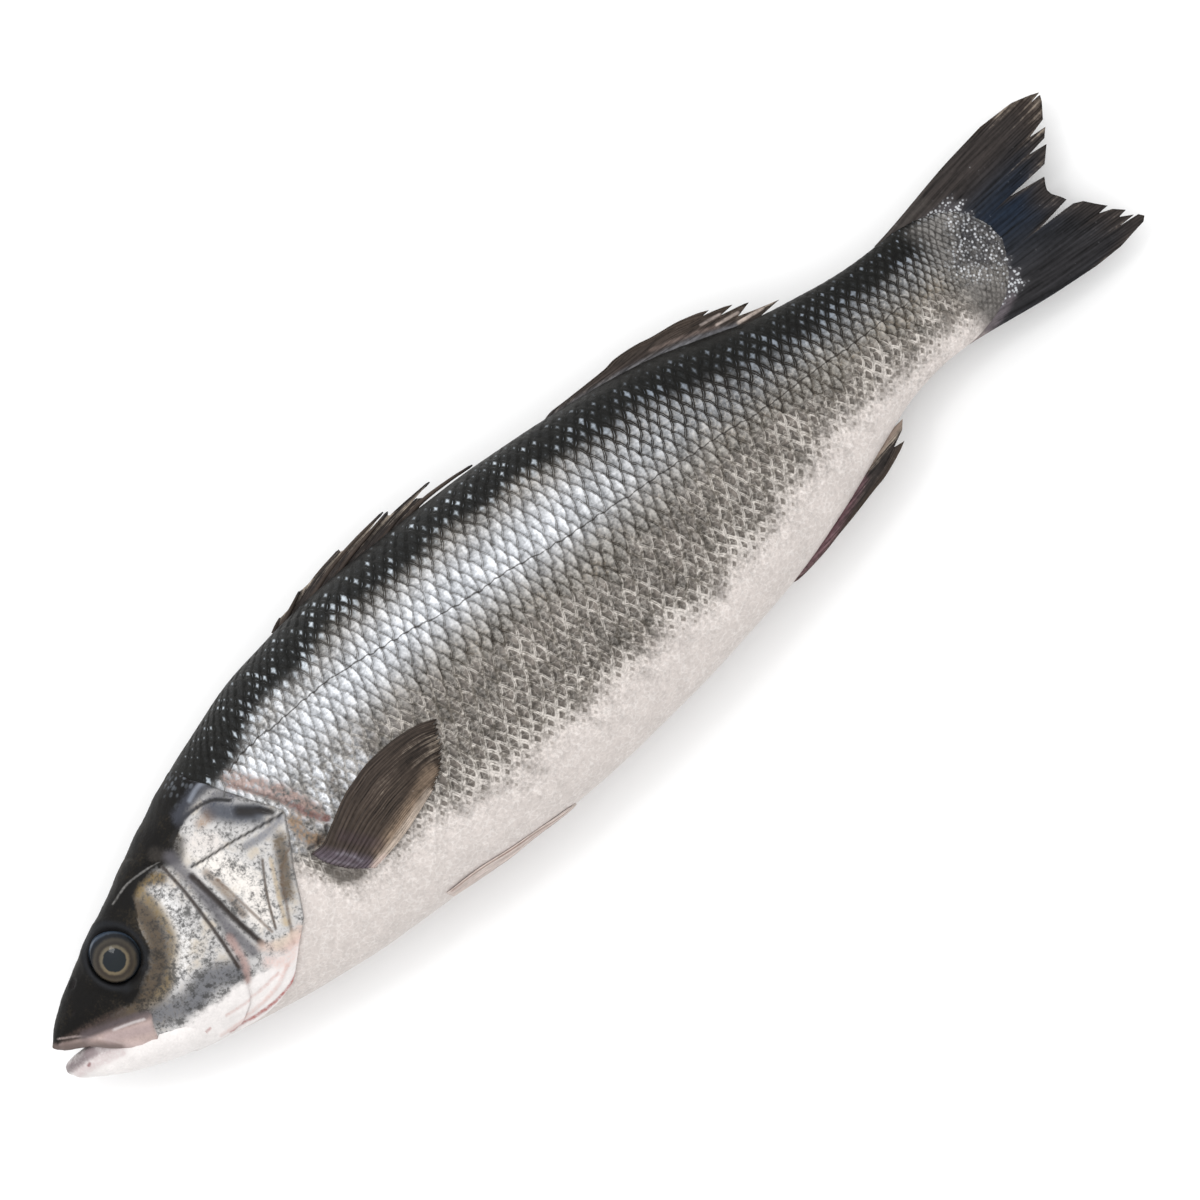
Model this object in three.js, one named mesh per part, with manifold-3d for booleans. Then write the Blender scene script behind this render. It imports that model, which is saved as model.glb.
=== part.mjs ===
// Whole raw fish lying on its right side with the left flank up, in millimetres, +Z up.
// X runs from the snout to the tail fin, Y from the belly to the back, and the table is at Z = 0.
// Everything is built about a flat middle plane first, which is then bent down towards head and tail.
import * as THREE from 'three';
import { mergeVertices } from 'three/addons/utils/BufferGeometryUtils.js';
import Module from 'manifold-3d';

const wasm = await Module();
wasm.setup();

// Driving dimensions
const snoutX = -224.9;                 // tip of the lower jaw
const bodyEndX = 184;                  // where the scaled body runs out on the tail fin
const middleHeight = 28.8;             // middle plane above the table at the thickest part
const headDroop = 3;                   // how far the snout sinks below that height
const tailDroop = 15;                  // how far the tip of the tail fin sinks below it
const stiffFrontX = -110;              // between these two the body stays level
const stiffRearX = 0;
const eyeCentre = [-187.2, 2.05];
const eyeRadii = [8.9, 9.5, 6.2];      // along X, along Y and into the head
const eyeDepth = 10.6;                 // centre of each eye away from the middle plane
const eyeGap = 0.35;
const stationCount = 48;
const ringCount = 36;
const sectionPower = 2.15;             // 2 is an ellipse, more is boxier
const browBoxiness = 1.5;              // added to it above the eyes, where the skull's roof is flat
const browLength = 24;
const widestLevel = 0.54;              // widest level of a section, as a share of its depth

// Side outline of the body without its fins, as [x, y] through which a smooth curve runs
const backLine = [
  [-224.9, -14.9], [-222.9, -7], [-213.8, 1.1], [-200.8, 8.2], [-182.6, 16.4], [-156.6, 29], [-125.4, 40.7],
  [-94.2, 48.5], [-57.8, 51.4], [-9.1, 50.1], [39.7, 45.3], [72.2, 38.8], [104.7, 27.7], [119, 24.3],
  [145, 20.4], [156, 20.3], [164, 19], [171, 16.8], [177, 13.5], [181, 8.5], [184, 1],
];
const bellyLine = [
  [-224.9, -17.4], [-222.9, -20.7], [-217.1, -24.9], [-208.6, -30.1], [-193, -36.6], [-174.8, -41.8],
  [-156.6, -46], [-125.4, -51.2], [-83.8, -54.3], [-31.8, -56.1], [9.8, -53.2], [41, -49.6], [67, -44.8],
  [87.8, -38.8], [113.8, -29.8], [129.4, -25.4], [145, -23.6], [155, -23.9], [163, -23], [171, -20.6],
  [177, -16.5], [181, -11], [184, -5],
];
// Half of the body's thickness, as [x, half width]
const halfWidths = [
  [-224.9, 1.4], [-223.4, 4], [-220, 6.6], [-213.8, 10], [-200.8, 14.2], [-187.8, 17.2], [-174.8, 19.8],
  [-155, 23.2], [-135, 26.2], [-115, 28.4], [-95, 29.5], [-50, 29.4], [-10, 27.8], [25, 25], [56, 20.6],
  [88, 15.5], [112, 12.1], [130, 10.2], [147, 8.8], [160, 6.6], [172, 4], [184, 1.6],
];

// A smooth curve through the points that never overshoots them (monotone cubic)
function smoothLine(points) {
  const n = points.length;
  const slopes = points.slice(1).map((p, i) => (p[1] - points[i][1]) / (p[0] - points[i][0]));
  const tangents = points.map((p, i) => {
    if (i === 0) return slopes[0];
    if (i === n - 1) return slopes[n - 2];
    const [before, after] = [slopes[i - 1], slopes[i]];
    return before * after <= 0 ? 0 : 2 * before * after / (before + after);
  });
  return (x) => {
    const clamped = Math.min(Math.max(x, points[0][0]), points[n - 1][0]);
    const i = Math.min(points.findLastIndex((p) => p[0] <= clamped), n - 2);
    const span = points[i + 1][0] - points[i][0];
    const t = (clamped - points[i][0]) / span;
    const [y0, y1] = [points[i][1], points[i + 1][1]];
    const [m0, m1] = [tangents[i] * span, tangents[i + 1] * span];
    return y0 + t * (m0 + t * (3 * (y1 - y0) - 2 * m0 - m1 + t * (2 * (y0 - y1) + m0 + m1)));
  };
}
const backAt = smoothLine(backLine);
const bellyAt = smoothLine(bellyLine);
const halfWidthAt = smoothLine(halfWidths);

// Height of the middle plane: level along the trunk, sinking as a parabola towards each end
function middleAt(x) {
  const front = Math.max(stiffFrontX - x, 0) / (stiffFrontX - snoutX);
  const rear = Math.max(x - stiffRearX, 0) / (225 - stiffRearX);
  return middleHeight - headDroop * front ** 2 - tailDroop * rear ** 2;
}

function geometryOf(positions, triangles) {
  const geometry = new THREE.BufferGeometry();
  geometry.setAttribute('position', new THREE.Float32BufferAttribute(positions, 3));
  geometry.setIndex(triangles);
  return geometry;
}

function solidOf(geometry) {
  const bare = geometry.clone();
  bare.deleteAttribute('normal');
  bare.deleteAttribute('uv');
  const merged = mergeVertices(bare, 1e-4);
  return new wasm.Manifold(new wasm.Mesh({
    numProp: 3,
    vertProperties: new Float32Array(merged.attributes.position.array),
    triVerts: new Uint32Array(merged.index.array),
  }));
}

// A closed skin from rows of points: each row is a ring, and both ends are closed by a fan to a point
function ringSkin(rings, startPoint, endPoint) {
  const count = rings[0].length;
  const positions = [...rings.flat(), startPoint, endPoint].flat();
  const [start, end] = [rings.length * count, rings.length * count + 1];
  const triangles = [];
  for (let j = 0; j < count; j++) {
    const next = (j + 1) % count;
    triangles.push(start, j, next);
    triangles.push(end, (rings.length - 1) * count + next, (rings.length - 1) * count + j);
    for (let i = 0; i + 1 < rings.length; i++) {
      const [a, b] = [i * count + j, i * count + next];
      triangles.push(a, b + count, b, a, a + count, b + count);
    }
  }
  return solidOf(geometryOf(positions, triangles));
}

// The body: superellipse sections between the belly and back lines, moved out by rise
function bodySolid(rise = 0) {
  const rings = [];
  for (let i = 0; i < stationCount; i++) {
    // stations stand closer together at the snout, where the outline turns fastest
    const t = i / (stationCount - 1);
    const x = snoutX + (bodyEndX - snoutX) * (0.35 * t + 0.65 * t ** 1.7);
    const [back, belly] = [backAt(x), bellyAt(x)];
    const level = belly + widestLevel * (back - belly);
    const brow = browBoxiness * Math.exp(-(((x - eyeCentre[0]) / browLength) ** 2));
    const ring = [];
    for (let j = 0; j < ringCount; j++) {
      const angle = 2 * Math.PI * j / ringCount;
      const [c, s] = [Math.cos(angle), Math.sin(angle)];
      const power = s > 0 ? sectionPower + brow : sectionPower;
      const up = Math.sign(s) * Math.abs(s) ** (2 / power);
      const out = Math.sign(c) * Math.abs(c) ** (2 / power);
      const reach = s > 0 ? back - level : level - belly;
      ring.push([x, level + up * reach, out * (halfWidthAt(x) + rise)]);
    }
    rings.push(ring);
  }
  const middle = (x) => [x, (backAt(x) + bellyAt(x)) / 2, 0];
  return ringSkin(rings, middle(snoutX), middle(bodyEndX));
}

// A straight-sided block over an outline of [x, y] points
function blockOver(outline, low = -60, high = 60) {
  const shape = new THREE.Shape(outline.map(([x, y]) => new THREE.Vector2(x, y)));
  const geometry = new THREE.ExtrudeGeometry(shape, { depth: high - low, bevelEnabled: false });
  geometry.translate(0, 0, low);
  return solidOf(geometry);
}

const curveThrough = (points, closed = false) => new THREE.CatmullRomCurve3(
  points.map(([x, y]) => new THREE.Vector3(x, y, 0)), closed);

// A plate on both flanks: the body made fatter by rise, kept only inside a smooth closed outline
function platesOver({ outline, rise }) {
  const rounded = curveThrough(outline, true).getPoints(2 * outline.length).slice(0, -1);
  return bodySolid(rise).intersect(blockOver(rounded.map((point) => [point.x, point.y])));
}

function ellipsoidAt(centre, radii, detail) {
  const geometry = new THREE.SphereGeometry(1, 2 * detail, detail);
  geometry.scale(...radii);
  geometry.translate(...centre);
  return solidOf(geometry);
}

// A tapered spine between two points, round at its tip
function spine(from, to, rootRadius, tipRadius, sides = 6) {
  const [start, end] = [new THREE.Vector3(...from), new THREE.Vector3(...to)];
  const along = end.clone().sub(start);
  const geometry = new THREE.CylinderGeometry(tipRadius, rootRadius, along.length(), sides);
  geometry.applyQuaternion(new THREE.Quaternion().setFromUnitVectors(
    new THREE.Vector3(0, 1, 0), along.normalize()));
  geometry.translate(...start.add(end).multiplyScalar(0.5).toArray());
  return solidOf(geometry);
}

// A fin of rays: a point at share f of the root line runs to the same share of the margin line. The fin
// is thicker on each ray than between rays, its margin is set back between rays by the share notch, and
// side moves its middle away from the middle plane.
function rayedFin({ root, margin, rays, thickness, notch = 0, steps = 5, side = () => 0 }) {
  const [rootLine, marginLine] = [curveThrough(root), curveThrough(margin)];
  const across = 2 * rays;
  const positions = [];
  const triangles = [];
  const width = across + 1;
  for (const face of [1, -1]) {
    for (let i = 0; i <= steps; i++) {
      for (let j = 0; j <= across; j++) {
        const [f, t] = [j / across, i / steps];
        const onRay = j % 2 === 0 ? 1 : 0;
        const place = rootLine.getPointAt(f).lerp(marginLine.getPointAt(f), t * (1 - notch * (1 - onRay)));
        const half = THREE.MathUtils.lerp(thickness[0], thickness[1], t) * (0.34 + 0.16 * onRay);
        positions.push(place.x, place.y, side(f, t) + face * half);
      }
    }
  }
  const under = width * (steps + 1);
  const quad = (a, b, c, d) => triangles.push(a, b, c, a, c, d);
  for (let i = 0; i < steps; i++) {
    for (let j = 0; j < across; j++) {
      const [a, b, c, d] = [i * width + j, i * width + j + 1, (i + 1) * width + j + 1, (i + 1) * width + j];
      quad(a, b, c, d);
      quad(under + a, under + d, under + c, under + b);
    }
    const [left, right] = [i * width, i * width + across];
    quad(left, left + width, under + left + width, under + left);
    quad(right, under + right, under + right + width, right + width);
  }
  for (let j = 0; j < across; j++) {
    const [near, far] = [j, steps * width + j];
    quad(near, under + near, under + near + 1, near + 1);
    quad(far, far + 1, under + far + 1, under + far);
  }
  const solid = solidOf(geometryOf(positions, triangles));
  if (solid.volume() > 0) return solid;
  // the root line runs the other way round the fin, so its faces are turned out
  for (let i = 0; i < triangles.length; i += 3) {
    [triangles[i + 1], triangles[i + 2]] = [triangles[i + 2], triangles[i + 1]];
  }
  return solidOf(geometryOf(positions, triangles));
}

// Head: plates that stand proud of the skin, as outlines of [x, y]
const gillCover = {
  rise: 1.5,
  outline: [
    [-156, 16], [-146, 20.8], [-136, 23], [-126, 19.5], [-118, 11], [-113.3, 2.8], [-117, -5], [-123, -17],
    [-130, -27], [-137.5, -33], [-147, -39.5], [-157, -42.5], [-172, -42], [-186, -40], [-170, -30],
  ],
};
const cheek = {
  rise: 2.3,
  outline: [
    [-174, 17], [-163, 18], [-156.5, 14], [-155.5, -9], [-157.5, -22], [-161, -31], [-172, -38], [-186, -38.5],
    [-200, -32.5], [-206, -28], [-197, -19], [-184, -11], [-172, 2],
  ],
};
const maxilla = {
  rise: 1.4,
  outline: [
    [-222, -7], [-216, -7.6], [-210.5, -11.8], [-200.5, -14.9], [-190.6, -18.3], [-191.6, -23], [-195.2, -28.4],
    [-204, -23.4], [-211.6, -16], [-218, -13.4],
  ],
};
const mouthGap = [[-230, -4], [-222.2, -9], [-215.5, -13], [-212.5, -14.6], [-217, -14.5], [-230, -15.6]];

// Paired fins that lie flat on the flanks
const pectoral = {
  rise: 2.4,
  outline: [
    [-116.6, -12.6], [-106.6, -10.6], [-96.8, -5.6], [-83.8, -2.4], [-74, -1.9], [-67, -2.8], [-58.4, -5.4],
    [-62, -12], [-65.3, -16.4], [-70.2, -20.8], [-87, -26.6], [-103.4, -29.4], [-114, -25],
  ],
};

// The first dorsal fin lies folded back along the ridge: a thin web in steps, and straight spines that
// lean to one side and the other in turn, each from its root to its tip
const firstDorsal = {
  web: 1.4,
  outline: [
    [-84, 46], [-81.5, 49.4], [-77, 52], [-76, 51], [-66.6, 54.6], [-65.6, 53.2], [-48, 56.9], [-46, 55.8],
    [-29, 57.2], [-26.5, 55.8], [-11, 55], [-10.6, 54], [-17, 52.6], [3.4, 50.4], [3.4, 49.4], [-4, 46],
  ],
  spines: [
    [[-82, 48], [-76.6, 51.9]], [[-80, 48.6], [-66.2, 54.5]], [[-74.1, 49], [-47.8, 56.7]],
    [[-62, 49.5], [-28.8, 56.9]], [[-50, 49.8], [-27.5, 56]], [[-42, 49.6], [-10.9, 54.7]],
    [[-34, 49.4], [-17.4, 53]], [[-27, 49], [3.4, 50]],
  ],
  rootRadius: 1.6, tipRadius: 0.6, lean: 0.7,
};
// The soft fins in the middle plane: rays slant back from a line inside the body, and each fin is cut to
// its ragged outline
const secondDorsal = {
  root: [[4, 38], [40, 37], [75, 28], [98, 20]],
  margin: [[70, 54], [92, 50], [112, 42], [128, 32]],
  rays: 12, thickness: [4.6, 1.2], steps: 3,
  outline: [
    [26, 44], [33.2, 46.9], [39.7, 46.8], [55.9, 46.4], [60.8, 46.9], [68.9, 46.1], [75.4, 44.6], [83.5, 43.3],
    [92.3, 40.7], [95.2, 39.3], [88, 38.7], [102.4, 35.7], [93, 35.2], [106.9, 32.9], [101, 31.4],
    [115.1, 27.2], [102, 25], [88, 30], [60, 38],
  ],
};
const analFin = {
  root: [[40, -40], [70, -34], [92, -26], [100, -22]],
  margin: [[100, -50], [118, -44], [126, -36], [130, -30]],
  rays: 10, thickness: [4.4, 1.2], steps: 3,
  outline: [
    [57, -43], [59.8, -46.7], [72.2, -45.7], [80.3, -44.1], [88.4, -42.6], [98.2, -40.5], [104.7, -39.2],
    [112.8, -36.3], [116.7, -34.4], [112.6, -33.8], [118.4, -31.2], [120.9, -28.5], [112, -29], [100, -26],
    [84, -32], [70, -38],
  ],
};
// The pelvic fins lie back side by side under the belly
const pelvicFin = {
  root: [[-92, -51], [-88, -50.6], [-84, -50.2]],
  margin: [[-46, -57], [-40, -57.2], [-44, -52]],
  rays: 5, thickness: [2.6, 1.2], notch: 0.05, steps: 4,
};
const pelvicSide = 6;                  // each pelvic fin's distance from the middle plane

// The tail fin fans out from the end of the body, and is cut to a ragged, shallowly forked margin
const tailFin = {
  root: [[150, -23], [151, -8], [151, 5], [150, 20]],
  margin: [[224, -36], [228, -12], [228, 8], [224, 30]],
  rays: 17, thickness: [5.4, 1], steps: 6,
  outline: [
    [140, 20], [157, 22.4], [180, 25.4], [202, 28.2], [212, 28.2], [221.7, 26], [224.8, 24.6], [223.4, 21.6],
    [220.4, 17.6], [218.8, 14.7], [213, 12.6], [210.6, 6], [196, 5], [207.6, 2.2], [206.2, -3], [208.6, -7.4],
    [196.2, -9.6], [209.4, -10.4], [215.2, -15.2], [217.8, -18.3], [221.7, -23.1], [223.6, -26.6], [224.9, -28.5],
    [223.4, -29.9], [212.6, -31.3], [202, -31.2], [189, -29.4], [169.8, -27.2], [140, -22],
  ],
};

function foldedFin({ web, outline, spines, rootRadius, tipRadius, lean }) {
  const rods = spines.map(([from, to], i) => {
    const side = i % 2 === 0 ? lean : -lean;
    return spine([...from, 0], [...to, side], rootRadius, tipRadius);
  });
  return [blockOver(outline, -web / 2, web / 2), ...rods];
}

const cutFin = (fin) => rayedFin(fin).intersect(blockOver(fin.outline));

const joined = (solids) => solids.reduce((sum, solid) => sum.add(solid));

function fishSolid() {
  const head = bodySolid().subtract(blockOver(mouthGap));
  const plates = [gillCover, cheek, maxilla, pectoral].map(platesOver);
  const fins = [...foldedFin(firstDorsal), ...[secondDorsal, analFin, tailFin].map(cutFin)];
  for (const sign of [1, -1]) {
    fins.push(rayedFin({ ...pelvicFin, side: (f, t) => sign * pelvicSide * (1 - 0.4 * t) }));
  }
  const whole = joined([head, ...plates, ...fins]);
  const orbits = [1, -1].map((sign) => ellipsoidAt(
    [...eyeCentre, sign * eyeDepth], eyeRadii.map((radius) => radius + eyeGap), 12));
  return orbits.reduce((solid, orbit) => solid.subtract(orbit), whole);
}

// Bend the middle plane down towards both ends
const bent = (solid) => solid.warp((vertex) => { vertex[2] += middleAt(vertex[0]); });

// Flatten what would reach below the table
function flattened(solid) {
  const below = new THREE.BoxGeometry(600, 300, 40);
  below.translate(0, 0, -20);
  return solid.subtract(solidOf(below));
}

const fish = new THREE.Group();

function addPiece(name, solid, material) {
  const { vertProperties, triVerts } = solid.getMesh();
  const geometry = geometryOf(Array.from(vertProperties), Array.from(triVerts));
  geometry.computeVertexNormals();
  const mesh = new THREE.Mesh(geometry, material);
  mesh.name = name;
  fish.add(mesh);
}

const skin = new THREE.MeshStandardMaterial({ color: 0xa3a09c, roughness: 0.35, metalness: 0.25 });
const eye = new THREE.MeshStandardMaterial({ color: 0x3a3f46, roughness: 0.08, metalness: 0 });

addPiece('fish', flattened(bent(fishSolid())), skin);
addPiece('left_eye', bent(ellipsoidAt([...eyeCentre, eyeDepth], eyeRadii, 12)), eye);
addPiece('right_eye', bent(ellipsoidAt([...eyeCentre, -eyeDepth], eyeRadii, 12)), eye);

export default fish;
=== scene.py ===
# Whole raw fish on its side, left flank up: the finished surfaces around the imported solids.
# Lengths are in millimetres here and become metres when a mesh is made.
import math

import bpy
import numpy as np
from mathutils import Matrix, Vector


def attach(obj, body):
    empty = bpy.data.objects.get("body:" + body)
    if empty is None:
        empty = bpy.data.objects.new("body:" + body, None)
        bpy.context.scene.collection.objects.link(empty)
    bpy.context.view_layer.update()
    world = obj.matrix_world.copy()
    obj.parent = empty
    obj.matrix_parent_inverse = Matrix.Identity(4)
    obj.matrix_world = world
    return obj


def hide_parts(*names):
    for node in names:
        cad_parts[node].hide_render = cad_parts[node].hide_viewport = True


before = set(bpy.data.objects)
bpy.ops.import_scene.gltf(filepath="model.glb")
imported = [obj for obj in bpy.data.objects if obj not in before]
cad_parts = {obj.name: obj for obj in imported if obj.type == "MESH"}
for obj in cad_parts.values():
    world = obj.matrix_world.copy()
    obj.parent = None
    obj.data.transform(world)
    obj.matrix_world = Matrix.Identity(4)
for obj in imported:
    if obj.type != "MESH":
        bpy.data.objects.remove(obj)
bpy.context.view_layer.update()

mm = 0.001
quarterTurn = math.pi / 2
flanks = ((1, "left"), (-1, "right"))
scene = bpy.context.scene
print("frame loaded")


# Curves and small numeric helpers

def smoothLine(points):
    # monotone cubic through [x, y] points: each tangent is the harmonic mean of the slopes beside it
    xs, ys = np.array(points, float).T
    slopes = np.diff(ys) / np.diff(xs)
    tangents = np.concatenate([slopes[:1], slopes])
    before, after = slopes[:-1], slopes[1:]
    turns = before * after <= 0
    tangents[1:-1] = np.where(turns, 0, 2 * before * after / np.where(turns, 1, before + after))

    def at(x):
        x = np.clip(x, xs[0], xs[-1])
        i = np.clip(np.searchsorted(xs, x, side="right") - 1, 0, len(xs) - 2)
        span = xs[i + 1] - xs[i]
        t = (x - xs[i]) / span
        m0, m1 = tangents[i] * span, tangents[i + 1] * span
        y0, y1 = ys[i], ys[i + 1]
        return y0 + t * (m0 + t * (3 * (y1 - y0) - 2 * m0 - m1 + t * (2 * (y0 - y1) + m0 + m1)))
    return at


def brokenLine(x, points):
    # straight pieces through [x, y] points
    return np.interp(x, *np.array(points).T)


def ease(value, low, high):
    # smooth step: 0 up to low, 1 from high on, 3t^2 - 2t^3 between
    t = np.clip((value - low) / (high - low), 0, 1)
    return t * t * (3 - 2 * t)


def bell(value, middle, width):
    # bell curve exp(-((value - middle) / width)^2)
    return np.exp(-((value - middle) / width) ** 2)


def ripple(x, y, size, seed):
    # soft noise between about -1 and 1: a sum of sine waves in random directions, size mm long
    rng = np.random.default_rng(seed)
    total = 0
    for _ in range(7):
        heading, phase = rng.uniform(0, 2 * math.pi, 2)
        length = size * rng.uniform(0.7, 1.6)
        wave = (x * math.cos(heading) + y * math.sin(heading)) * 2 * math.pi / length
        total = total + np.sin(wave + phase)
    return total / 3.2


def curvedPath(points, closed=False, steps=6):
    # Catmull-Rom curve through the points, as an array of [x, y]
    p = np.array(points, float)
    if closed:
        p = np.vstack([p[-1:], p, p[:2]])
    else:
        p = np.vstack([2 * p[:1] - p[1:2], p, 2 * p[-1:] - p[-2:-1]])
    t = np.linspace(0, 1, steps, endpoint=False)[:, None, None]
    a, b, c, d = p[:-3], p[1:-2], p[2:-1], p[3:]
    curve = 0.5 * (2 * b + (c - a) * t + (2 * a - 5 * b + 4 * c - d) * t ** 2
                   + (3 * b - a - 3 * c + d) * t ** 3)
    curve = curve.transpose(1, 0, 2).reshape(-1, 2)
    return curve if closed else np.vstack([curve, p[-2:-1]])


def pathDistance(x, y, path):
    # distance from each point to a path of straight pieces
    best = np.full(x.shape, 1e9)
    for (ax, ay), (bx, by) in zip(path[:-1], path[1:]):
        dx, dy = bx - ax, by - ay
        t = np.clip(((x - ax) * dx + (y - ay) * dy) / (dx * dx + dy * dy + 1e-9), 0, 1)
        best = np.minimum(best, np.hypot(x - ax - t * dx, y - ay - t * dy))
    return best


def insideDistance(x, y, outline):
    # distance to a closed outline, positive inside and negative outside
    path = np.vstack([outline, outline[:1]])
    distance = pathDistance(x, y, path)
    inside = np.zeros(x.shape, bool)
    for (ax, ay), (bx, by) in zip(path[:-1], path[1:]):
        crosses = (ay > y) != (by > y)
        inside ^= crosses & (x < (bx - ax) * (y - ay) / (by - ay + 1e-12) + ax)
    return np.where(inside, distance, -distance)


# Meshes

def gridFaces(rows, columns, wrap=False, first=0):
    # four-sided faces of a grid of points stored row by row; wrap joins the last column to the first
    i = np.arange(rows - 1)[:, None]
    j = np.arange(columns if wrap else columns - 1)[None, :]
    following = (j + 1) % columns
    here, beyond = i * columns, (i + 1) * columns
    corners = [here + j, here + following, beyond + following, beyond + j]
    return np.stack(corners, -1).reshape(-1, 4) + first


def fanFaces(ring, centre, turned=False):
    # triangles from a closed ring of point numbers to one centre point
    ring = np.asarray(ring)
    following = np.roll(ring, -1)
    middle = np.full(len(ring), centre)
    return np.stack([following, ring, middle] if turned else [ring, following, middle], -1)


def openEdges(*faces):
    # the edges that only one face uses, in that face's direction, as pairs of point numbers
    edges = np.concatenate([np.stack([f, np.roll(f, -1, axis=1)], -1).reshape(-1, 2) for f in faces])
    size = edges.max() + 1
    return edges[~np.isin(edges[:, 0] * size + edges[:, 1], edges[:, 1] * size + edges[:, 0])]


def hiddenWall(points, values, centre, *faces):
    # closes a skin inside the body: a fan from its open border to one centre point, on points of its own
    edges = openEdges(*faces)
    rim, spots = np.unique(edges, return_inverse=True)
    spots = spots.reshape(-1, 2) + len(points)
    fan = np.stack([spots[:, 1], spots[:, 0], np.full(len(spots), len(points) + len(rim))], -1)
    points = np.vstack([points, points[rim], centre])
    values = {label: np.vstack([a, a[rim], a[rim[:1]]]) for label, a in values.items()}
    return points, values, fan


def makePiece(name, points, quads, triangles=None, values=None, material=None, slot="skin", replaced=()):
    # a mesh object at the origin from arrays of points and faces, with named numbers at its points
    mesh = bpy.data.meshes.new(name)
    # nothing goes through the table, which is at height 0
    points = np.array(points, float)
    points[:, 2] = np.maximum(points[:, 2], 0)
    triangles = np.zeros((0, 3), int) if triangles is None else triangles
    mesh.vertices.add(len(points))
    mesh.vertices.foreach_set("co", (points * mm).astype(np.float32).ravel())
    corners = np.concatenate([quads.ravel(), triangles.ravel()]).astype(np.int32)
    starts = np.concatenate([np.arange(len(quads)) * 4, len(quads) * 4 + np.arange(len(triangles)) * 3])
    mesh.loops.add(len(corners))
    mesh.loops.foreach_set("vertex_index", corners)
    mesh.polygons.add(len(starts))
    mesh.polygons.foreach_set("loop_start", starts.astype(np.int32))
    mesh.polygons.foreach_set("use_smooth", np.ones(len(starts), bool))
    for label, numbers in (values or {}).items():
        numbers = np.asarray(numbers, np.float32)
        if numbers.ndim == 2:
            mesh.attributes.new(label, "FLOAT_VECTOR", "POINT").data.foreach_set("vector", numbers.ravel())
        else:
            mesh.attributes.new(label, "FLOAT", "POINT").data.foreach_set("value", numbers)
    mesh.update(calc_edges=True)
    mesh.validate()
    mesh.materials.append(material)
    piece = bpy.data.objects.new(name, mesh)
    scene.collection.objects.link(piece)
    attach(piece, "root")
    for node in replaced:
        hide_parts(node)
    print(f"{name}: {len(points)} points, {2 * len(quads) + len(triangles)} triangles")
    return piece


def sheetPiece(name, upper, lower, values, **rest):
    # a closed thin sheet between two grids of points, with its four borders joined
    rows, columns = upper.shape[:2]
    count = rows * columns
    points = np.concatenate([upper.reshape(-1, 3), lower.reshape(-1, 3)])
    index = np.arange(count).reshape(rows, columns)
    top = gridFaces(rows, columns)
    under = gridFaces(rows, columns)[:, ::-1] + count
    border = np.concatenate([index[0, :], index[1:, -1], index[-1, -2::-1], index[-2:0:-1, 0]])
    following = np.roll(border, -1)
    rim = np.stack([following, border, border + count, following + count], -1)
    # the faces point out when the upper grid's own normal does
    a, b, c = upper[0, 0], upper[0, -1], upper[-1, 0]
    facing = np.cross(b - a, c - a)[2] * (upper - lower)[..., 2].mean()
    quads = np.concatenate([top, under, rim])
    if facing < 0:
        quads = quads[:, ::-1]
    doubled = {label: np.concatenate([v.reshape(count, -1), v.reshape(count, -1)]).squeeze()
               for label, v in values.items()}
    return makePiece(name, points, quads, values=doubled, **rest)


# Shader formulas

class Wire:
    # a shader socket that can stand in a formula; each sign adds its Math node
    def __init__(self, shader, socket):
        self.shader = shader
        self.socket = socket

    def __add__(self, other):
        return self.shader.maths("ADD", self, other)

    def __sub__(self, other):
        return self.shader.maths("SUBTRACT", self, other)

    def __mul__(self, other):
        return self.shader.maths("MULTIPLY", self, other)

    def __rsub__(self, other):
        return self.shader.maths("SUBTRACT", other, self)

    __radd__ = __add__
    __rmul__ = __mul__


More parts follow.
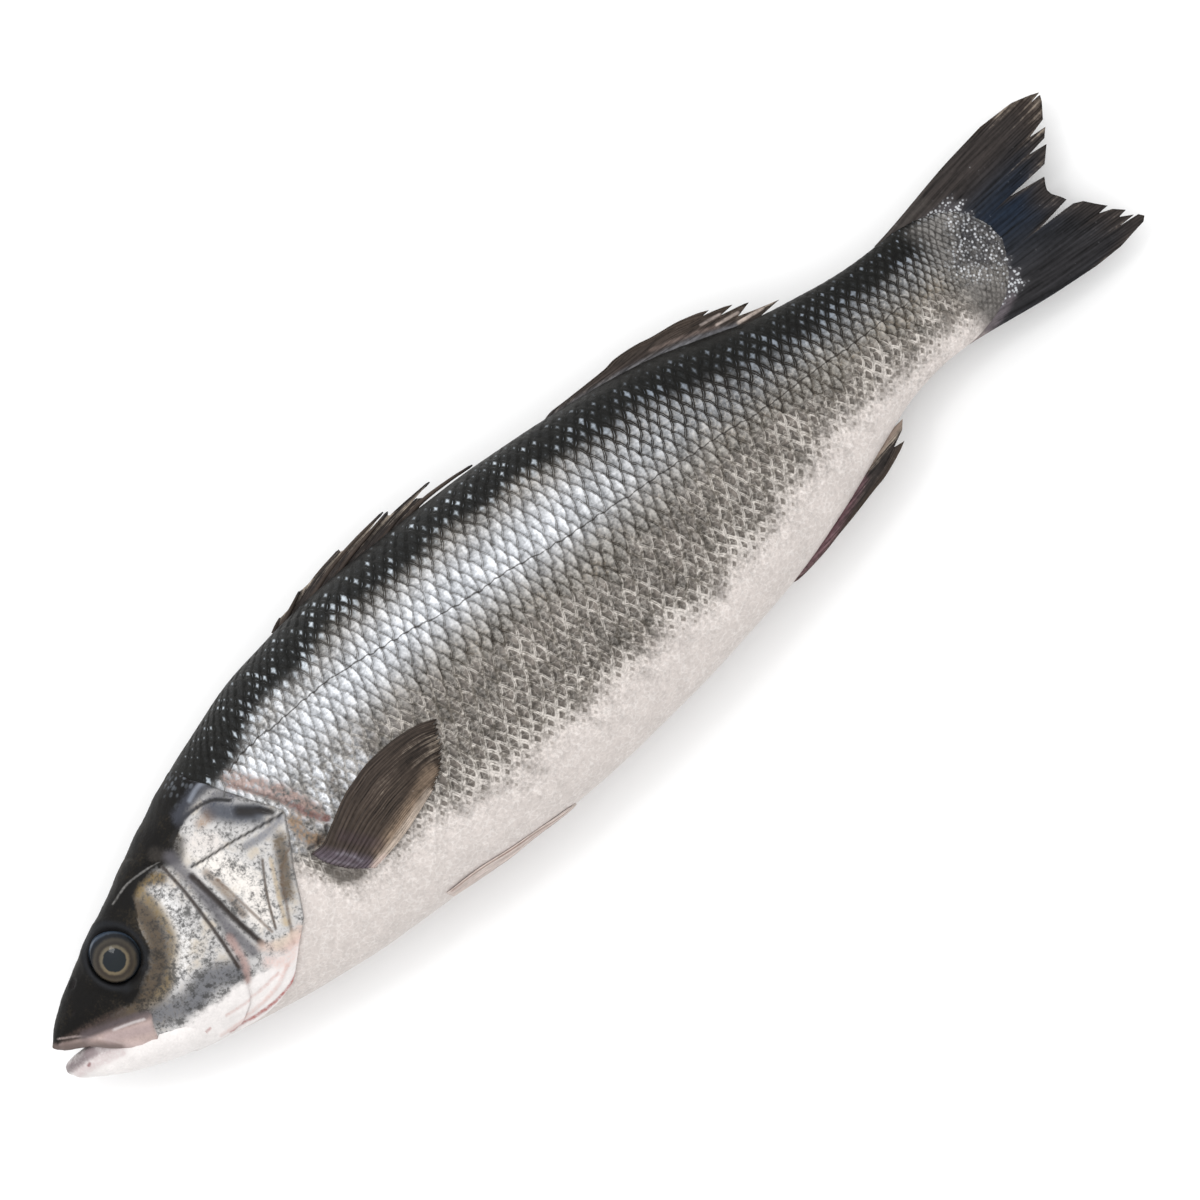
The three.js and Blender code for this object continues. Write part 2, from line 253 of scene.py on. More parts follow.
class Shader:
    # a material with one Principled surface, and the node that any formula needs by node()
    def __init__(self, name, **fixed):
        self.material = bpy.data.materials.new(name)
        self.material.use_nodes = True
        self.tree = self.material.node_tree
        self.surface = self.tree.nodes["Principled BSDF"]
        for label, value in fixed.items():
            self.surface.inputs[label.replace("_", " ")].default_value = value

    def node(self, kind, settings=None, sockets=None, out=0):
        made = self.tree.nodes.new(kind)
        for label, value in (settings or {}).items():
            setattr(made, label, value)
        for label, value in (sockets or {}).items():
            self.plug(made.inputs[label], value)
        return Wire(self, made.outputs[out])

    def plug(self, socket, value):
        if isinstance(value, Wire):
            self.tree.links.new(value.socket, socket)
        else:
            socket.default_value = value

    def feed(self, label, value):
        self.plug(self.surface.inputs[label], value)

    def maths(self, operation, a, b=0.0):
        return self.node("ShaderNodeMath", {"operation": operation}, {0: a, 1: b})

    def vector(self, label):
        return self.node("ShaderNodeAttribute", {"attribute_name": label}, out=1)

    def triple(self, label):
        parts = self.tree.nodes.new("ShaderNodeSeparateXYZ")
        self.plug(parts.inputs[0], self.vector(label))
        return [Wire(self, output) for output in parts.outputs]

    def place(self):
        return self.node("ShaderNodeTexCoord", out=3)

    def step(self, value, low, high):
        return self.node("ShaderNodeMapRange", {"interpolation_type": "SMOOTHSTEP"},
                         {"Value": value, "From Min": low, "From Max": high})

    def noise(self, vector, size, detail=2.0, rough=0.5):
        # size is the size of a blotch in metres where the vector is a place
        return self.node("ShaderNodeTexNoise", None,
                         {"Vector": vector, "Scale": 1 / size, "Detail": detail, "Roughness": rough})

    def beads(self, vector, size):
        # dots scattered one to a Voronoi cell: 1 where the distance to the cell's point is small, with
        # some cells left out
        spread = self.node("ShaderNodeTexVoronoi", None, {"Vector": vector, "Scale": 1 / size})
        chance = self.tree.nodes.new("ShaderNodeSeparateXYZ")
        self.plug(chance.inputs[0], Wire(self, spread.socket.node.outputs["Color"]))
        return (1 - self.step(spread, 0.22, 0.52)) * self.step(Wire(self, chance.outputs[0]), 0.0, 0.5)

    def mix(self, share, first, second):
        return self.node("ShaderNodeMix", {"data_type": "RGBA"}, {0: share, 6: first, 7: second}, out=2)

    def tint(self, share, first, second):
        return self.node("ShaderNodeMix", {"data_type": "RGBA", "blend_type": "MULTIPLY"},
                         {0: share, 6: first, 7: second}, out=2)

    def shaded(self, colour, factor):
        grey = self.node("ShaderNodeCombineXYZ", None, {0: factor, 1: factor, 2: factor})
        return self.tint(1.0, colour, grey)

    def relief(self, height, strength, distance):
        sockets = {"Strength": strength, "Distance": distance, "Height": height}
        return self.node("ShaderNodeBump", None, sockets)


# the lamps light the table to just past white, so a paint is this much darker than it shall look
brightness = 1.3


def paint(red, green, blue):
    # a display colour of 0 to 255 as the linear colour that a shader takes
    def linear(value):
        share = value / 255
        return (share / 12.92 if share <= 0.04045 else ((share + 0.055) / 1.055) ** 2.4) / brightness
    return (linear(red), linear(green), linear(blue), 1)


class Wash:
    # colour laid over a skin in strokes: each one covers what lies under it by its own share
    def __init__(self, x, y):
        self.x, self.y = x, y
        self.colour = np.zeros(x.shape + (3,))
        self.share = np.zeros(x.shape)
        self.lift = np.zeros(x.shape)

    def cover(self, mask, colour):
        # mix over what is there; share = 1 - (1 - share)(1 - mask)
        share = self.share + mask * (1 - self.share)
        kept = self.colour * (self.share * (1 - mask))[..., None]
        fresh = np.array(paint(*colour)[:3]) * mask[..., None]
        self.colour = (kept + fresh) / np.maximum(share, 1e-6)[..., None]
        self.share = share

    def stroke(self, path, width, colour, strength, lift=0):
        distance = pathDistance(self.x, self.y, curvedPath(path))
        mask = 1 - ease(distance, width * 0.2, width * 1.7)
        self.cover(mask * strength, colour)
        self.lift = self.lift + lift * mask

    def strokes(self, rows):
        for row in rows:
            self.stroke(*row)
        return self


# The body's overall form, shared by every piece that lies on it

body = {
    "backLine": [(-224.9, -14.9), (-222.9, -7), (-213.8, 1.1), (-200.8, 8.2), (-182.6, 16.4),
                 (-156.6, 29), (-125.4, 40.7), (-94.2, 48.5), (-57.8, 51.4), (-9.1, 50.1), (39.7, 45.3),
                 (72.2, 38.8), (104.7, 27.7), (119, 24.3), (145, 20.4), (156, 20.3), (164, 19),
                 (171, 16.8), (177, 13.5), (181, 8.5), (184, 1)],
    "bellyLine": [(-224.9, -17.4), (-222.9, -20.7), (-217.1, -24.9), (-208.6, -30.1), (-193, -36.6),
                  (-174.8, -41.8), (-156.6, -46), (-125.4, -51.2), (-83.8, -54.3), (-31.8, -56.1),
                  (9.8, -53.2), (41, -49.6), (67, -44.8), (87.8, -38.8), (113.8, -29.8), (129.4, -25.4),
                  (145, -23.6), (155, -23.9), (163, -23), (171, -20.6), (177, -16.5), (181, -11),
                  (184, -5)],
    "halfWidths": [(-224.9, 1.4), (-223.4, 4), (-220, 6.6), (-213.8, 10), (-200.8, 14.2),
                   (-187.8, 17.2), (-174.8, 19.8), (-155, 23.2), (-135, 26.2), (-115, 28.4),
                   (-95, 29.5), (-50, 29.4), (-10, 27.8), (25, 25), (56, 20.6), (88, 15.5), (112, 12.1),
                   (130, 10.2), (147, 8.2), (160, 5.6), (172, 2.8), (184, 0.5)],
    "roundness": 2.15,
    "widestLevel": 0.54,
    "middleHeight": 28.8,
    "headDroop": 3,
    "tailDroop": 15,
    "stiffFront": -110,
    "stiffRear": 0,
    "snout": -224.9,
    "tailTip": 225,
    "browBoxiness": 1.5,
    "browPlace": -190,
    "browLength": 24,
}
backAt = smoothLine(body["backLine"])
bellyAt = smoothLine(body["bellyLine"])
halfWidthAt = smoothLine(body["halfWidths"])


def middleAt(x):
    # height of the middle plane: level along the trunk, sinking as a parabola towards each end
    front = np.maximum(body["stiffFront"] - x, 0) / (body["stiffFront"] - body["snout"])
    rear = np.maximum(x - body["stiffRear"], 0) / (body["tailTip"] - body["stiffRear"])
    return body["middleHeight"] - body["headDroop"] * front ** 2 - body["tailDroop"] * rear ** 2


def levelAt(x):
    belly = bellyAt(x)
    return belly + body["widestLevel"] * (backAt(x) - belly)


class Section:
    # a row of superellipses along x: height = level + reach * |sin|^(2/n), out = half width * |cos|^(2/n)
    def __init__(self, top, bottom, level, halfWidth, upperPower, lowerPower):
        self.top = top
        self.bottom = bottom
        self.level = level
        self.halfWidth = halfWidth
        self.upperPower = upperPower
        self.lowerPower = lowerPower

    def shape(self, x, above):
        level = self.level(x)
        reach = np.where(above, self.top(x) - level, level - self.bottom(x))
        return level, np.maximum(reach, 0.05), np.where(above, self.upperPower(x), self.lowerPower(x))

    def place(self, x, angle):
        level, reach, power = self.shape(x, angle > 0)
        y = level + np.sign(angle) * reach * np.abs(np.sin(angle)) ** (2 / power)
        return y, self.halfWidth(x) * np.abs(np.cos(angle)) ** (2 / power)

    def angle(self, x, y):
        level, reach, power = self.shape(x, y > self.level(x))
        share = np.clip(np.abs(y - level) / reach, 0, 1)
        return np.sign(y - level) * np.arcsin(share ** (power / 2))

    def normal(self, x, angle):
        # outward direction in the section's own plane: the gradient of the superellipse, of length 1
        _, reach, power = self.shape(x, angle > 0)
        up = np.sign(angle) * np.abs(np.sin(angle)) ** (2 - 2 / power) / reach
        out = np.abs(np.cos(angle)) ** (2 - 2 / power) / np.maximum(self.halfWidth(x), 0.3)
        length = np.maximum(np.hypot(up, out), 1e-9)
        return up / length, out / length

    def skin(self, x, angle, lift, side):
        # the place at an angle of the section, lifted off the skin; side is +1 (left, up) or -1 (right)
        y, out = self.place(x, angle)
        up, outward = self.normal(x, angle)
        z = middleAt(x) + side * (out + lift * outward)
        return np.stack([x, y + lift * up, np.maximum(z, 0)], -1)


def plainPower(x):
    return np.full(np.shape(x), body["roundness"])


def browPower(x):
    # boxier round the eyes, where the skull's roof is flat
    return body["roundness"] + body["browBoxiness"] * bell(x, body["browPlace"], body["browLength"])


trunkForm = Section(backAt, bellyAt, levelAt, halfWidthAt, browPower, plainPower)
print("body form set")


# Trunk: rhombic overlapping scales in staggered rows on each flank

trunk = {
    "front": -188,
    "rear": 184,
    "scaleLengths": [(-188, 3.2), (-150, 3.3), (-115, 3.6), (-60, 4.4), (35, 4.3), (100, 4.05),
                     (150, 3.5), (162, 2.3), (184, 1.9)],
    "rowsAbove": [(0, 5.2), (0.6, 4), (1, 3.8)],
    "rowsBelow": [(0, 5.2), (0.5, 4.2), (0.8, 2.9), (1, 2.7)],
    "rowShrink": [(-188, 0.6), (-150, 0.72), (-115, 0.78), (-60, 1), (30, 1), (100, 0.85), (150, 0.68),
                  (162, 0.5), (184, 0.38)],
    "lateralLine": [(-188, 25), (-136, 24), (-125.5, 22.6), (-115.4, 25.4), (-105, 26.3), (-80.3, 26.3),
                    (-70.9, 25.4), (-44.9, 21.2), (-27, 17.6), (-12.3, 16.3), (7.2, 12.8), (39.6, 9.2),
                    (72.2, 5.3), (88.4, 3), (106.6, 2), (128.1, 0.4), (163.2, -1.2), (184, -1.9)],
    "linesPerScale": 4,
    # rows of scales that the table of rows covers, and its step in rows
    "lowestRow": -34,
    "highestRow": 24,
    "rowStep": 0.25,
    # scales past both ends of the flank, which the slanting lattice needs
    "spareScales": 19,
    "scaleRise": 0.5,
    "bellyScaleRise": 0.03,
    "dome": 0.12,
    "arch": 0.12,
    "tipping": 0.9,
    "lineGroove": 0.2,
    "unevenness": 0.15,
    "darkBack": 25,
    "darkBackCore": 3,
    # how far down the dark of the back reaches, as a share of the full reach
    "darkBackShare": [(-160, 0.8), (-122, 1.08), (-70, 0.88), (10, 0.86), (60, 1.1), (105, 0.95),
                      (145, 0.7), (184, 0.6)],
    # the silver band is the scales' own silver with painted sheen where the flank faces the light, fading
    # towards the tail
    "silverSheenMiddle": [(-188, 18), (-110, 19), (-60, 22), (-41, 22.6), (7, 19), (60, 14), (184, 10)],
    "silverSheenReach": 9,
    "silverSheenEnd": 90,
    "bellyTop": [(-188, -20), (-135, -12), (-123, -14), (-116, -25), (-104, -29), (-90.4, -29.2),
                 (-41.6, -35), (7.2, -33), (30, -32.6), (55.9, -28.6), (104.7, -17.5), (143.7, -15.8),
                 (184, -24)],
    # colour strokes behind the gill cover and under the root of the pectoral fin: path, half width,
    # colour and strength
    "washes": [
        ([(-121.5, 22), (-116, 15), (-110.5, 6), (-107, -4)], 2.8, (144, 122, 114), 0.75),
        ([(-118, 17), (-113, 9), (-109.5, 3)], 1.1, (184, 160, 154), 0.6),
        ([(-123.5, 22), (-118, 14.5), (-113, 6.5), (-110, 1)], 0.6, (98, 76, 70), 0.8),
        ([(-110.5, 3), (-108.5, -3), (-105, -8)], 1.0, (104, 66, 60), 0.8),
        ([(-114, -1), (-114.5, -7), (-112, -11)], 2.2, (132, 108, 84), 0.7),
        ([(-116, -11.6), (-111, -11.4), (-107, -9.6)], 0.8, (40, 36, 36), 0.8),
        ([(-114.8, -21), (-113.4, -26), (-109.5, -28)], 2.4, (98, 92, 86), 0.75),
    ],
}
lateralAt = smoothLine(trunk["lateralLine"])
silverSheenAt = smoothLine(trunk["silverSheenMiddle"])
bellyTopAt = smoothLine(trunk["bellyTop"])

# rear edge of the gill cover, as x over the section's angle; the head ends here and the scales begin
gillEdge = [(-135.8, 37.5), (-131, 30.3), (-125.5, 22.2), (-120.2, 14.1), (-115.7, 7.6), (-113.1, 2.7),
            (-118, -5.4), (-122.9, -12.9), (-126.8, -20.1), (-131, -27.2), (-137.5, -32.4),
            (-142.3, -36.3), (-147.2, -40.2)]
gillThroat = [(-155, -63), (-165, -72), (-174.8, -76), (-184.6, -83), (-189, -90)]


def edgeOverAngle(points, throat):
    # [x, y] points on the flank, then [x, degrees] ones under the throat, as x over the section's angle
    x, y = np.array(points, float).T
    angles = list(trunkForm.angle(x, y)) + [math.radians(a) for _, a in throat]
    xs = list(x) + [place for place, _ in throat]
    order = np.argsort(angles)
    return np.array(angles)[order], np.array(xs)[order]


gillAngles, gillXs = edgeOverAngle(gillEdge, gillThroat)


def gillAt(angle):
    return np.interp(angle, gillAngles, gillXs)


def rowTable():
    # for each millimetre of x, the section angle of every quarter row of scales, row 0 on the lateral line
    xs = np.arange(trunk["front"] - 2, trunk["rear"] + 1.01, 1.0)
    fine = np.linspace(-quarterTurn, quarterTurn, 361)
    x, angle = np.meshgrid(xs, fine, indexing="ij")
    y, out = trunkForm.place(x, angle)
    arc = np.hypot(np.diff(y, axis=1), np.diff(out, axis=1))
    x, y = x[:, 1:], (y[:, 1:] + y[:, :-1]) / 2
    line = lateralAt(x)
    above = brokenLine((y - line) / np.maximum(backAt(x) - line, 1), trunk["rowsAbove"])
    below = brokenLine((line - y) / np.maximum(line - bellyAt(x), 1), trunk["rowsBelow"])
    pitch = np.where(y > line, above, below) * brokenLine(x, trunk["rowShrink"])
    rows = np.concatenate([np.zeros((len(xs), 1)), np.cumsum(arc / pitch, axis=1)], axis=1)
    lineAngles = trunkForm.angle(xs, np.minimum(lateralAt(xs), backAt(xs) - 0.5))
    numbers = np.arange(trunk["lowestRow"], trunk["highestRow"] + 0.01, trunk["rowStep"])
    table = np.zeros((len(xs), len(numbers)))
    for j in range(len(xs)):
        rows[j] -= np.interp(lineAngles[j], fine, rows[j])
        table[j] = np.interp(numbers, rows[j], fine)
    return xs, numbers, table, rows[:, 0], rows[:, -1]


def trunkSkin(side, name, material):
    xs, numbers, table, lowest, highest = rowTable()
    lengths = brokenLine(xs, trunk["scaleLengths"])
    alongs = np.concatenate([[0], np.cumsum(2 / (lengths[1:] + lengths[:-1]))])
    lastAlong = alongs[-1] - 0.5
    # a unit square of p and q is one scale: p = along + row/2, q = along - row/2
    cuts = np.linspace(0.02, 0.98, trunk["linesPerScale"] + 1)
    spare = trunk["spareScales"]
    whole = np.arange(-spare, int(lastAlong) + spare)
    lines = (whole[:, None] + cuts[None, :]).ravel()
    p, q = np.meshgrid(lines, lines, indexing="ij")
    rng = np.random.default_rng(11 if side > 0 else 12)
    cellP = np.floor(p).astype(int) + spare
    cellQ = np.floor(q).astype(int) + spare
    chance = rng.uniform(0, 1, (3, len(whole), len(whole)))
    chanceA, chanceB, chanceC = chance[:, cellP, cellQ]
    shareP, shareQ = p - np.floor(p), q - np.floor(q)

    # place: back from lattice numbers to x and the section's angle; each scale's rear edges arch outwards
    arch = trunk["arch"]
    bentP = p + arch * 4 * shareQ * (1 - shareQ)
    bentQ = q + arch * 4 * shareP * (1 - shareP)
    along, row = (bentP + bentQ) / 2, bentP - bentQ
    wanderAlong = ripple(along, row, 9, 3) * 0.13 + ripple(along, row, 2.6, 4) * 0.075
    wanderRow = ripple(along, row, 8, 5) * 0.2 + ripple(along, row, 2.3, 6) * 0.12
    x = np.interp(along + wanderAlong, alongs, xs)
    row = row + wanderRow
    top, bottom = np.interp(x, xs, highest), np.interp(x, xs, lowest)
    cell = np.clip(x - xs[0], 0, len(xs) - 1.001)
    i, fx = cell.astype(int), cell % 1
    cell = np.clip((row - numbers[0]) / trunk["rowStep"], 0, len(numbers) - 1.001)
    j, fr = cell.astype(int), cell % 1
    angle = ((table[i, j] * (1 - fr) + table[i, j + 1] * fr) * (1 - fx)
             + (table[i + 1, j] * (1 - fr) + table[i + 1, j + 1] * fr) * fx)
    angle = np.where(row >= top, quarterTurn, np.where(row <= bottom, -quarterTurn, angle))
    y, _ = trunkForm.place(x, angle)

    # relief: each scale rises to its rear edges, domes a little and tips by chance
    depth = backAt(x) - y
    hiddenUnder = gillAt(angle)
    patches = ripple(x, y, 26, 7)
    belly = ease(bellyTopAt(x) + patches * 2 - y, -14, 15)
    rise = trunk["scaleRise"] + (trunk["bellyScaleRise"] - trunk["scaleRise"]) * belly
    rise = rise * ease(x - hiddenUnder, -2, 14) * (0.35 + 0.65 * ease(184 - x, 0, 40))
    rise = rise * ease(quarterTurn - np.abs(angle), 0.0, 0.16) * (0.45 + 0.55 * ease(depth, 1, 12))
    rim = 2 * np.minimum(np.minimum(shareP, 1 - shareP), np.minimum(shareQ, 1 - shareQ))
    tip = (shareP - 0.5) * (chanceA - 0.5) + (shareQ - 0.5) * (chanceB - 0.5)
    lift = rise * ((shareP + shareQ) / 2 + tip * trunk["tipping"] + trunk["dome"] * np.sqrt(rim))
    fromLine = y - lateralAt(x) + 0.14 * np.sin(along * 2 * math.pi) + ripple(x, y, 5, 9) * 0.3
    lineShare = ease(x, -126, -120) * ease(184 - x, 10, 40)
    lift = lift - trunk["lineGroove"] * bell(fromLine, 0, 0.7) * lineShare
    lift = lift + trunk["unevenness"] * ripple(x, y, 30, 8)
    wash = Wash(x, y).strokes(trunk["washes"])
    points = trunkForm.skin(x, angle, lift, side)

    # what the colours need: how dark the back is, how much silver and painted sheen, how pale the belly,
    # and so on
    reach = brokenLine(x, trunk["darkBackShare"])
    dark = 1 - ease(depth + patches * 1.6, trunk["darkBackCore"] * reach, trunk["darkBack"] * reach)
    # the dark goes past 1 near the head, where the glints of the back are smallest
    dark = dark * (1 + 0.5 * (1 - ease(x, -138, -98))) * (1 - ease(x + patches, 160, 172))
    spread = np.where(y < silverSheenAt(x), 1.2, 1 + 0.35 * ease(x, -110, -60))
    silverSheen = bell(y, silverSheenAt(x), trunk["silverSheenReach"] * spread)
    silverSheen = silverSheen * (1 - ease(x, 0, trunk["silverSheenEnd"]))
    dusky = ease(x, 5, 60) * ease(y - lateralAt(x) + patches * 1.5, -4, 9)
    front = (1 - ease(x + patches * 4, -100, -62)) * ease(y, -16, -4)
    smooth = (1 - ease(depth - 2.2 * bell(x, 75, 30), 0.8, 2.8)) * (1 - ease(x, 150, 164))
    beads = ease(x + patches * 2, 157, 166) * ease(depth, 0, 3)
    rearward = ease(x, 10, 70)
    below = ease(lateralAt(x) - y + patches * 2.5, 9 - 9 * rearward, 25 - 15 * rearward)
    root = ease(x - 1.2 * np.abs(y + 2) + patches * 2, 148, 172)
    keep = ((p + q) / 2 < lastAlong) & (x > hiddenUnder - 7)
    clampedTop, clampedBottom = row >= top, row <= bottom

    quads = gridFaces(len(lines), len(lines))
    flat = [a.ravel() for a in (keep, clampedTop, clampedBottom)]
    use = flat[0][quads].all(1) & ~flat[1][quads].all(1) & ~flat[2][quads].all(1)
    quads = quads[use]
    if side < 0:
        quads = quads[:, ::-1]
    used, quads = np.unique(quads, return_inverse=True)
    quads = quads.reshape(-1, 4)

    def pick(*parts):
        return np.stack([a.ravel()[used] for a in parts], -1)
    values = {
        "scale": pick(shareP, shareQ, chanceC),
        "zones": pick(dark, silverSheen, belly),
        "marks": pick(fromLine, smooth, beads),
        "places": pick(dusky, lineShare, root),
        "flank": pick(below, front, wash.share),
        "wash": wash.colour.reshape(-1, 3)[used],
    }
    centre = np.array([0, levelAt(0), middleAt(0)])
    points, values, wall = hiddenWall(points.reshape(-1, 3)[used], values, centre, quads)
    return makePiece(name, points, quads, wall, values, material, "skin", ["fish"])


def scaleMaterial():
    # every scale is net where its rim distance is under the net's width, and its own colour inside
    s = Shader("scales", Specular_IOR_Level=0.12, Coat_Roughness=0.2)
    shareP, shareQ, chance = s.triple("scale")
    dark, silverSheen, belly = s.triple("zones")
    line, smooth, beads = s.triple("marks")
    below, front, washShare = s.triple("flank")
    dusky, lineShare, root = s.triple("places")
    place = s.place()
    fine = s.noise(place, 0.0011, 3, 0.6) - 0.5
    medium = s.noise(place, 0.003, 2, 0.5) - 0.5
    blotch = s.noise(place, 0.011, 3, 0.55) - 0.5
    wave = s.maths("ABSOLUTE", s.noise(place, 0.0024, 1, 0.5) - 0.5)
    squiggle = 1 - s.step(wave, 0.0, 0.06)
    rough = fine * 0.28 + medium * 0.16
    edgeP = s.maths("MINIMUM", shareP, 1 - shareP)
    edgeQ = s.maths("MINIMUM", shareQ, 1 - shareQ)
    rim = 2 * s.maths("MINIMUM", edgeP, edgeQ)
    # down the flank the scales' long tips are covered, which leaves rounder cells
    tips = s.maths("ABSOLUTE", shareP - shareQ)
    rim = s.maths("MINIMUM", rim, (1.3 - below * 0.5 - tips) * 1.4) + rough
    # painted shade: from 0 at the front edges, which lie in the shade of the next scale, to 1 at the free
    # rear edges, painted lighter
    rearward = s.maths("MINIMUM", shareP, shareQ) + rough
    width = 0.12 + dark * 0.34 + dusky * 0.1 + below * 0.1 + belly * 0.8
    cell = s.step(rim, width - 0.1, width + 0.1)
    paintedShadeToLight = s.step(rearward, 0.0, 0.7)
    palePart = s.step(below + medium * 0.6 + blotch * 0.9 + (chance - 0.5) * 0.4, 0.3, 1.0)
    paleNet = s.mix(s.step(fine + medium + blotch, -0.25, 0.2), paint(130, 123, 114), paint(200, 194, 187))
    # the dark net stands for the scales' dark rims and painted shade where one scale overlaps the next
    net = s.mix(palePart, paint(62, 55, 46), paleNet)
    creamy = s.mix(squiggle * 0.5, paint(224, 215, 210), paint(246, 240, 236))
    net = s.mix(s.step(belly + medium * 0.3, 0.0, 0.9) * 0.9, net, creamy)
    net = s.mix(silverSheen * 0.55, net, paint(140, 139, 138))
    net = s.mix(front * 0.75, net, paint(150, 148, 146))
    net = s.mix(dusky * (1 - palePart), net, paint(46, 43, 39))
    net = s.mix(s.step(dark, 0.05, 0.75), net, paint(18, 18, 16))
    # each inside is painted darker at its front edges and lighter at its rear ones
    inside = s.mix(paintedShadeToLight, paint(88, 82, 74), paint(160, 156, 150))
    inside = s.mix(s.step(blotch + fine, 0.0, 0.3) * 0.4, inside, paint(118, 102, 80))
    inside = s.mix(palePart, inside, s.mix(paintedShadeToLight, paint(80, 75, 70), paint(120, 113, 107)))
    inside = s.mix(dusky * 0.8, inside, s.mix(paintedShadeToLight, paint(78, 79, 80), paint(138, 142, 148)))
    # the brightest insides are silver with painted sheen
    shiny = s.maths("MAXIMUM", silverSheen, front * s.step(blotch + medium, -0.3, 0.15) * 0.85)
    inside = s.mix(shiny, inside, s.mix(paintedShadeToLight, paint(162, 165, 170), paint(238, 241, 246)))
    inside = s.mix(squiggle * (1 - shiny) * (1 - dark) * 0.35, inside, paint(196, 191, 184))
    inside = s.mix(s.step(belly, 0.2, 1.0) * 0.7, inside, paint(196, 186, 178))
    # painted glints: on the back only the middle of each scale is painted bright, more of it lower down
    glintRim = rim + (chance - 0.5) * 0.5
    glint = s.step(glintRim - dark * 0.5, 0.2, 0.7)
    bright = s.mix(dusky, paint(186, 195, 203), paint(126, 134, 144))
    glint = s.mix(glint * (0.5 + chance * 0.5), paint(30, 31, 31), bright)
    inside = s.mix(s.step(dark, 0.1, 0.7), inside, glint)
    colour = s.mix(cell, net, inside)
    colour = s.mix(s.step(belly + medium * 0.25 + (chance - 0.5) * 0.2, 0.45, 1.0), colour, creamy)
    # small pale beads over the tail's root, on grey that darkens to the rear
    bare = s.mix(s.step(root + medium * 0.8, 0.6, 1.1), paint(122, 119, 116), paint(62, 62, 66))
    bare = s.mix((1 - cell) * 0.7, bare, paint(64, 61, 59))
    bead = s.mix(s.beads(place, 0.0011) * s.step(root + blotch, 0.1, 0.6), bare, paint(206, 208, 212))
    colour = s.mix(beads * 0.9, colour, bead)
    colour = s.mix(smooth * 0.9, colour, paint(32, 31, 29))
    line = s.maths("ABSOLUTE", line) + fine * 0.6 + (1 - lineShare) * 3
    colour = s.mix((1 - s.step(line, 0.1, 0.36)) * 0.8, colour, paint(46, 41, 37))
    wash = s.vector("wash")
    broken = washShare * (1 + fine * 3.4 + medium * 3)
    colour = s.mix(s.step(broken, 0.0, 0.9) * 0.9, colour, wash)
    calm = 1 - belly * 0.8
    grain = 2.2 - silverSheen * 0.9 + front * 0.5
    shade = 1 + ((chance - 0.5) * 0.34 + blotch * 0.7 + medium * 0.5 + fine * grain) * calm
    colour = s.shaded(colour, shade)
    s.feed("Base Color", colour)
    s.feed("Roughness", 0.36 + fine * 0.25 + belly * 0.1 + dark * 0.16)
    s.feed("Coat Weight", 0.03 + silverSheen * 0.12)
    s.feed("Normal", s.relief(fine + squiggle * 0.3, 0.3, 0.0004))
    return s.material


scales = scaleMaterial()
for side, label in flanks:
    trunkSkin(side, f"{label}_flank", scales)
print("trunk built")


# Head: skull, cheeks and gill covers in one skin, with the lower jaw apart under it

